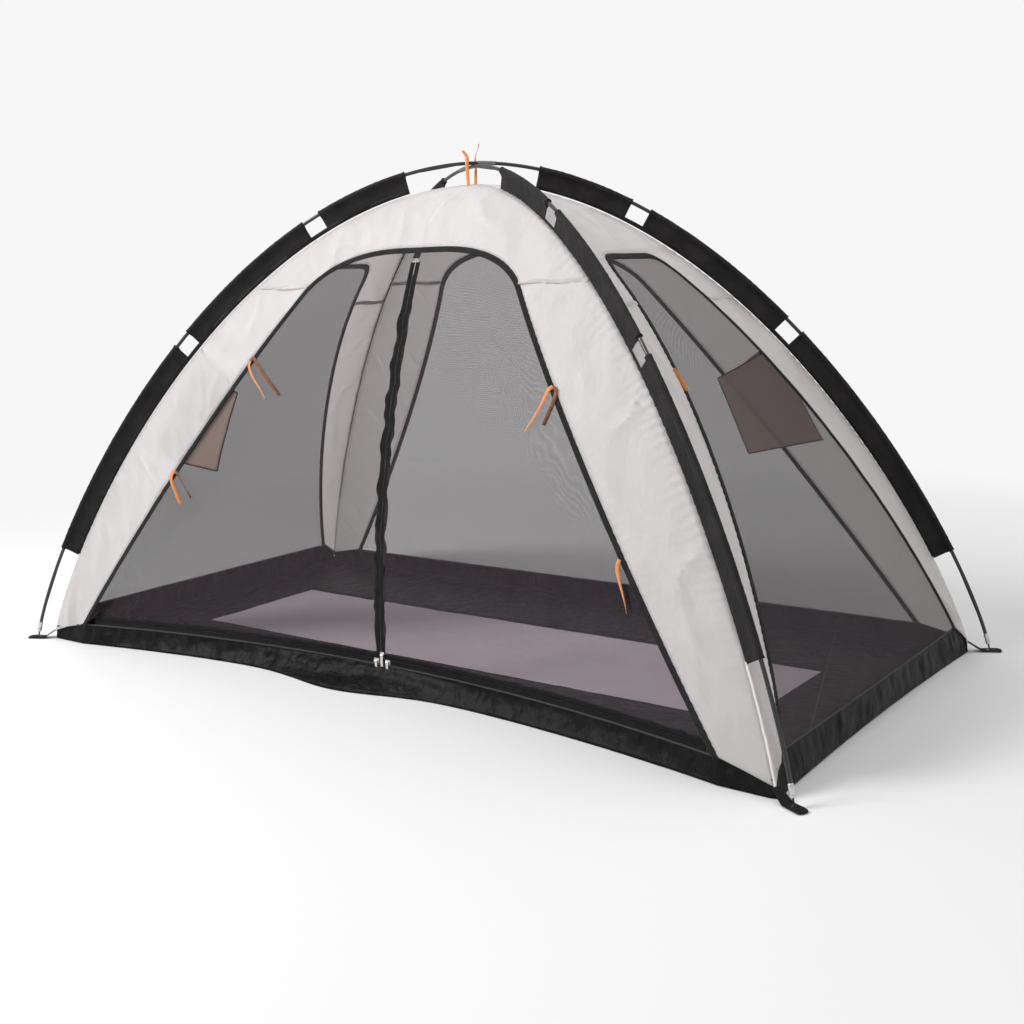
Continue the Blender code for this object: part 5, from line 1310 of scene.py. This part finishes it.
# %% Corner tabs
TAB_HALF, TAB_THICKNESS = 0.012, 0.0015
TAB_REACH, TAB_BEHIND = 0.0255, 0.018
SEWN_SHARE, SEWN_HEIGHT = 0.62, 0.0200
TAB_SHARES = [0, 0.40, 0.66, 1]
TAB_ENDS = [[0, 0.03, 0.07, 0.13, 0.66, 1], [0.55, 0.78, 0.93, 1, 1, 0.72]]
EYELET_RADIUS, EYELET_WIRE, EYELET_HEIGHT = 0.0046, 0.0012, 0.0028
tab_foot = hypot(TUB_HALF_LENGTH, TUB_HALF_WIDTH)
tab_top = hypot(LONG_CORNER_HALF, END_CORNER_HALF)
sewn_reach = tab_foot + (tab_top - tab_foot) * SEWN_SHARE
t = np.linspace(0, 1, 34)
half = TAB_HALF * np.interp(t, *TAB_ENDS)
share = np.linspace(-1, 1, 11)
edge_lift = 0.0003 * (np.abs(share) > 0.75) + 0.0001
for pole, end, far in ARMS:
    out = np.array([POLES[pole][0] * LENGTH_SHARE, -WIDTH_SHARE, 0]) * (-1 if far else 1)
    across = np.cross([0, 0, 1.0], out)
    pin = pole_line(pole, np.array([from_foot(run_at_height(0.0016), far)]))[0]
    pin[2] = 0
    path = np.array([pin + out * TAB_REACH + [0, 0, 0.0012], pin + [0, 0, 0.0017],
                     pin - out * TAB_BEHIND + [0, 0, 0.0024], out * sewn_reach + [0, 0, SEWN_HEIGHT]])
    line = np.stack([np.interp(t, TAB_SHARES, path[:, k]) for k in range(3)], axis=1)
    line[:, 2] += 0.0008 * np.sin(t * 7)
    grid = line[:, None] + across * (half[:, None] * share[None, :])[..., None]
    grid[..., 2] += edge_lift[None, :] + 0.0004
    piece = cloth(f"tab_{end}", grid, TAB_THICKNESS, WEBBING)
    turns = np.linspace(0, 2 * pi, 40)[:-1, None]
    ring = pin + EYELET_RADIUS * (out * np.cos(turns) + across * np.sin(turns)) + [0, 0, EYELET_HEIGHT]
    trim(tube(f"grommet_{end}", ring, EYELET_WIRE, PLATED, sides=12, closed=True))
    plain_piece(piece, f"corner_tab_{end}")
print("tabs done")

# %% [markdown]
# Two flat pockets of close net are sewn inside, one in the front left
# panel's seam and one at the back right. Each has a bound mouth along its
# sloping top, and its cloth hangs a little open.

# %% Storage pockets
POCKET_CORNERS = np.array([(0.578, 0.682), (0.432, 0.610), (0.668, 0.474), (0.486, 0.432)])
POCKET_DEPTH, POCKET_THICKNESS = 0.19, 0.0007
POCKET_STAND, MOUTH_SLACK, POCKET_RIPPLE = 0.0032, 0.006, 0.0015
RIM_RADIUS = 0.0014
down, over = np.linspace(0, 1, 34)[:, None, None], np.linspace(0, 1, 26)[None, :, None]
a, b, c, d = POCKET_CORNERS
flat = (a * (1 - down) + c * down) * (1 - over) + (b * (1 - down) + d * down) * over
across, height = flat[..., 0], flat[..., 1]
slack = MOUTH_SLACK * np.sin(pi * over[..., 0]) * (1 - down[..., 0]) ** 1.5
for name, wall, side in (("storage_pocket_front_left", "front", -1), ("storage_pocket_back_right", "back", 1)):
    kind, outward, window = WALLS[wall]
    edge = window_side(window, BINDING_WIDTH)
    half = np.interp(height, edge[:, 1], edge[:, 0])
    if wall == "front":
        fold, depth = hinge_place(height)
        past = np.clip(half - across, 0, 1) / np.maximum(half - fold, 0.02)
        hollow = np.maximum(0, (WIDTH_SHARE * ridge_half(height) - depth) * past)
    else:
        rise = (height - edge[0, 1]) / (edge[-1, 1] - edge[0, 1])
        hollow = BACK_SAG * (1 - np.minimum(across / half, 1) ** 2) * 4 * rise * (1 - rise)
    places = wall_place(kind, outward, side * across, height, POCKET_STAND + hollow)
    ripple = POCKET_RIPPLE * soft_noise(places, 0.05, 93)
    grid = places - wall_normal(kind, outward) * (slack + np.abs(ripple))[..., None]
    piece = cloth(f"{name}_net", grid, POCKET_THICKNESS, POCKET)
    plain_piece(piece, name)
    rim_line = np.concatenate([grid[0], grid[1:, -1], grid[-1, ::-1][1:]])
    trim(tube(f"{name}_edge", rim_line, RIM_RADIUS, BINDING, sides=6))
print("pockets done")

# %% [markdown]
# Stitches and zip teeth repeat thousands of times. One Geometry Nodes group
# sets a small shape at even steps along every line that it is given; its
# named inputs are the shape, its spacing, turn and unevenness, and the finish.

# %% Row builder
def bead(name, length, radius, finish):
    """A small rounded peg along Z, the shape of one stitch or one coil turn."""
    rings = [(-length / 2, radius * 0.45), (-length / 4, radius), (length / 4, radius), (length / 2, radius * 0.45)]
    points = [(r * cos(t), r * sin(t), z) for z, r in rings for t in np.linspace(0, 2 * pi, 5)[:-1]]
    faces = []
    for first in (0, 4, 8):
        faces += [(first + k, first + (k + 1) % 4, first + 4 + (k + 1) % 4, first + 4 + k) for k in range(4)]
    faces += [(3, 2, 1, 0), (12, 13, 14, 15)]
    shape = mesh_from(name, points, faces, None, finish)
    shape.data.uv_layers.new(name="UVMap")
    return shape


def row_builder():
    """Node group that repeats a shape along lines."""
    group = bpy.data.node_groups.new("repeat_along_lines", "GeometryNodeTree")
    sockets = {"Lines": "Geometry", "Shape": "Object", "Spacing": "Float", "Turn": "Rotation",
               "Unevenness": "Float", "Finish": "Material"}
    for label, kind in sockets.items():
        group.interface.new_socket(label, in_out="INPUT", socket_type=f"NodeSocket{kind}")
    group.interface.new_socket("Rows", in_out="OUTPUT", socket_type="NodeSocketGeometry")
    given, result, to_points, shape, scatter, turned, size, smallest, realize, finish = (
        group.nodes.new(kind) for kind in (
            "NodeGroupInput", "NodeGroupOutput", "GeometryNodeCurveToPoints", "GeometryNodeObjectInfo",
            "GeometryNodeInstanceOnPoints", "FunctionNodeRotateRotation", "FunctionNodeRandomValue",
            "ShaderNodeMath", "GeometryNodeRealizeInstances", "GeometryNodeSetMaterial"))
    to_points.mode = "LENGTH"
    turned.rotation_space = "LOCAL"
    size.data_type = "FLOAT"
    size.inputs[3].default_value = 1.0
    size.inputs["Seed"].default_value = 7
    smallest.operation = "SUBTRACT"
    smallest.inputs[0].default_value = 1.0
    for source, output, target, socket in (
        (given, "Lines", to_points, "Curve"),
        (given, "Spacing", to_points, "Length"),
        (given, "Shape", shape, "Object"),
        (to_points, "Points", scatter, "Points"),
        (shape, "Geometry", scatter, "Instance"),
        (to_points, "Rotation", turned, "Rotation"),
        (given, "Turn", turned, "Rotate By"),
        (turned, "Rotation", scatter, "Rotation"),
        (given, "Unevenness", smallest, 1),
        (smallest, 0, size, 2),
        (size, 1, scatter, "Scale"),
        (scatter, "Instances", realize, "Geometry"),
        (realize, "Geometry", finish, "Geometry"),
        (given, "Finish", finish, "Material"),
        (finish, "Geometry", result, "Rows"),
    ):
        group.links.new(source.outputs[output], target.inputs[socket])
    return group


ROW_GROUP = row_builder()


def repeat_rows(name, lines, shape, spacing, turn, unevenness, finish):
    """A plain mesh of one shape repeated along lines."""
    curve = bpy.data.curves.new(name, "CURVE")
    curve.dimensions = "3D"
    for line in lines:
        spline = curve.splines.new("POLY")
        spline.points.add(len(line) - 1)
        weighted = np.concatenate([line, np.ones((len(line), 1))], axis=1)
        spline.points.foreach_set("co", weighted.astype(np.float32).ravel())
    holder = bpy.data.objects.new(f"{name}_lines", curve)
    bpy.context.scene.collection.objects.link(holder)
    builder = holder.modifiers.new("rows", "NODES")
    builder.node_group = ROW_GROUP
    wanted = {"Shape": shape, "Spacing": spacing, "Turn": turn, "Unevenness": unevenness, "Finish": finish}
    for item in ROW_GROUP.interface.items_tree:
        if item.in_out == "INPUT" and item.name in wanted:
            builder[item.identifier] = wanted[item.name]
    holder.update_tag()
    bpy.context.view_layer.update()
    mesh = bpy.data.meshes.new_from_object(holder.evaluated_get(bpy.context.evaluated_depsgraph_get()))
    bpy.data.objects.remove(holder, do_unlink=True)
    mesh.name = name
    mesh.materials.clear()
    mesh.materials.append(finish)
    piece = bpy.data.objects.new(name, mesh)
    bpy.context.scene.collection.objects.link(piece)
    print(name, len(mesh.polygons), "faces")
    return piece


# %% Stitches and teeth
STITCH_SPACING, TOOTH_SPACING = 0.0052, 0.00125
STITCHED_SLOTS = {"pale": (THREAD, "beige_canopy_cloth"), "dark": (DARK_THREAD, "black_binding_tape")}
stitch = bead("one_stitch", 0.0034, 0.00038, THREAD)
tooth = bead("one_tooth", 0.0027, 0.00062, ZIP_COIL)
for body in ("tent", "flap_left", "flap_right"):
    for tone, (thread, slot) in STITCHED_SLOTS.items():
        lines = [line for owner, shade, line in STITCH_ROWS if owner == body and shade == tone]
        if lines:
            name = f"{tone}_stitches_{body}"
            trim(repeat_rows(name, lines, stitch, STITCH_SPACING, (0, 0, 0), 0.25, thread), body)
    lines = [line for owner, line in TOOTH_LINES if owner == body]
    teeth = repeat_rows(f"teeth_{body}", lines, tooth, TOOTH_SPACING, (0, radians(90), 0), 0.05, ZIP_COIL)
    trim(teeth, body)
for shape in (stitch, tooth):
    bpy.data.objects.remove(shape, do_unlink=True)

# %% [markdown]
# The sliders, pulls and shock cords keep their measured shapes, which are
# small rigid pieces, and only take their finishes.

# %% Finishes of the measured pieces
KEPT = {"plated_metal": PLATED, "zip_pull_metal": PALE_METAL, "shock_cord": SHOCK_CORD}
for thing in bpy.data.objects:
    if thing.type == "MESH":
        for slot in thing.material_slots:
            kind = slot.material.name.split(".")[0] if slot.material else ""
            slot.material = KEPT.get(kind, slot.material)

# %% [markdown]
# The photograph shows the tent on a plain, nearly white ground with a faint
# shadow under it. A wide floor catches that shadow, and a ramp of distance
# lets it melt into the background, which only the camera sees as pale; large
# soft lamps stand in for the studio.

# %% Floor, background and lamps
PALE, GROUND_TONE = 0.93, 0.77
GROUND_HALF = 30
FADE_START, FADE_END = 1.5, 3.2
SKY_STRENGTH, KEY_POWER, TOP_POWER = 0.66, 250, 42


def build_ground():
    """A wide floor that fades into the background away from the tent."""
    corners = [(GROUND_HALF * x, GROUND_HALF * y, 0) for x, y in ((-1, -1), (1, -1), (1, 1), (-1, 1))]
    ground = mesh_from("ground", corners, [(0, 1, 2, 3)], None, None, False)
    finish = bpy.data.materials.new("ground")
    finish.use_nodes = True
    tree = finish.node_tree
    shader = tree.nodes["Principled BSDF"]
    shader.inputs["Base Color"].default_value = (GROUND_TONE, GROUND_TONE, GROUND_TONE, 1)
    shader.inputs["Roughness"].default_value = 0.9
    shader.inputs["Specular IOR Level"].default_value = 0.1
    coords = tree.nodes.new("ShaderNodeTexCoord")
    length = tree.nodes.new("ShaderNodeVectorMath")
    length.operation = "LENGTH"
    fade = tree.nodes.new("ShaderNodeMapRange")
    fade.interpolation_type = "SMOOTHSTEP"
    fade.inputs["From Min"].default_value = FADE_START
    fade.inputs["From Max"].default_value = FADE_END
    glow = tree.nodes.new("ShaderNodeEmission")
    glow.inputs["Color"].default_value = (PALE, PALE, PALE, 1)
    mix = tree.nodes.new("ShaderNodeMixShader")
    tree.links.new(coords.outputs["Object"], length.inputs[0])
    tree.links.new(length.outputs["Value"], fade.inputs["Value"])
    tree.links.new(fade.outputs["Result"], mix.inputs[0])
    tree.links.new(shader.outputs[0], mix.inputs[1])
    tree.links.new(glow.outputs[0], mix.inputs[2])
    tree.links.new(mix.outputs[0], tree.nodes["Material Output"].inputs["Surface"])
    ground.data.materials.append(finish)
    return ground


def build_world():
    """Even soft light, and a pale background for the camera."""
    world = bpy.data.worlds.new("studio")
    bpy.context.scene.world = world
    world.use_nodes = True
    tree = world.node_tree
    soft = tree.nodes["Background"]
    soft.inputs["Color"].default_value = (1, 1, 1, 1)
    soft.inputs["Strength"].default_value = SKY_STRENGTH
    seen = tree.nodes.new("ShaderNodeBackground")
    seen.inputs["Color"].default_value = (PALE, PALE, PALE, 1)
    path = tree.nodes.new("ShaderNodeLightPath")
    mix = tree.nodes.new("ShaderNodeMixShader")
    tree.links.new(path.outputs["Is Camera Ray"], mix.inputs[0])
    tree.links.new(soft.outputs[0], mix.inputs[1])
    tree.links.new(seen.outputs[0], mix.inputs[2])
    tree.links.new(mix.outputs[0], tree.nodes["World Output"].inputs["Surface"])


def area_lamp(name, place, aim, size, power):
    """A large soft lamp that points at a place."""
    data = bpy.data.lights.new(name, "AREA")
    data.shape = "SQUARE"
    data.size = size
    data.energy = power
    lamp = bpy.data.objects.new(name, data)
    lamp.location = place
    lamp.rotation_euler = (Vector(aim) - Vector(place)).to_track_quat("-Z", "Y").to_euler()
    bpy.context.scene.collection.objects.link(lamp)
    return lamp


ground = build_ground()
build_world()
key = area_lamp("key", (-2.6, -3.4, 4.2), (0, 0, 0.4), 1.9, KEY_POWER)
top = area_lamp("top", (0.4, 0.8, 5.0), (0, 0, 0.5), 3.6, TOP_POWER)
bpy.context.scene.view_settings.view_transform = "Standard"
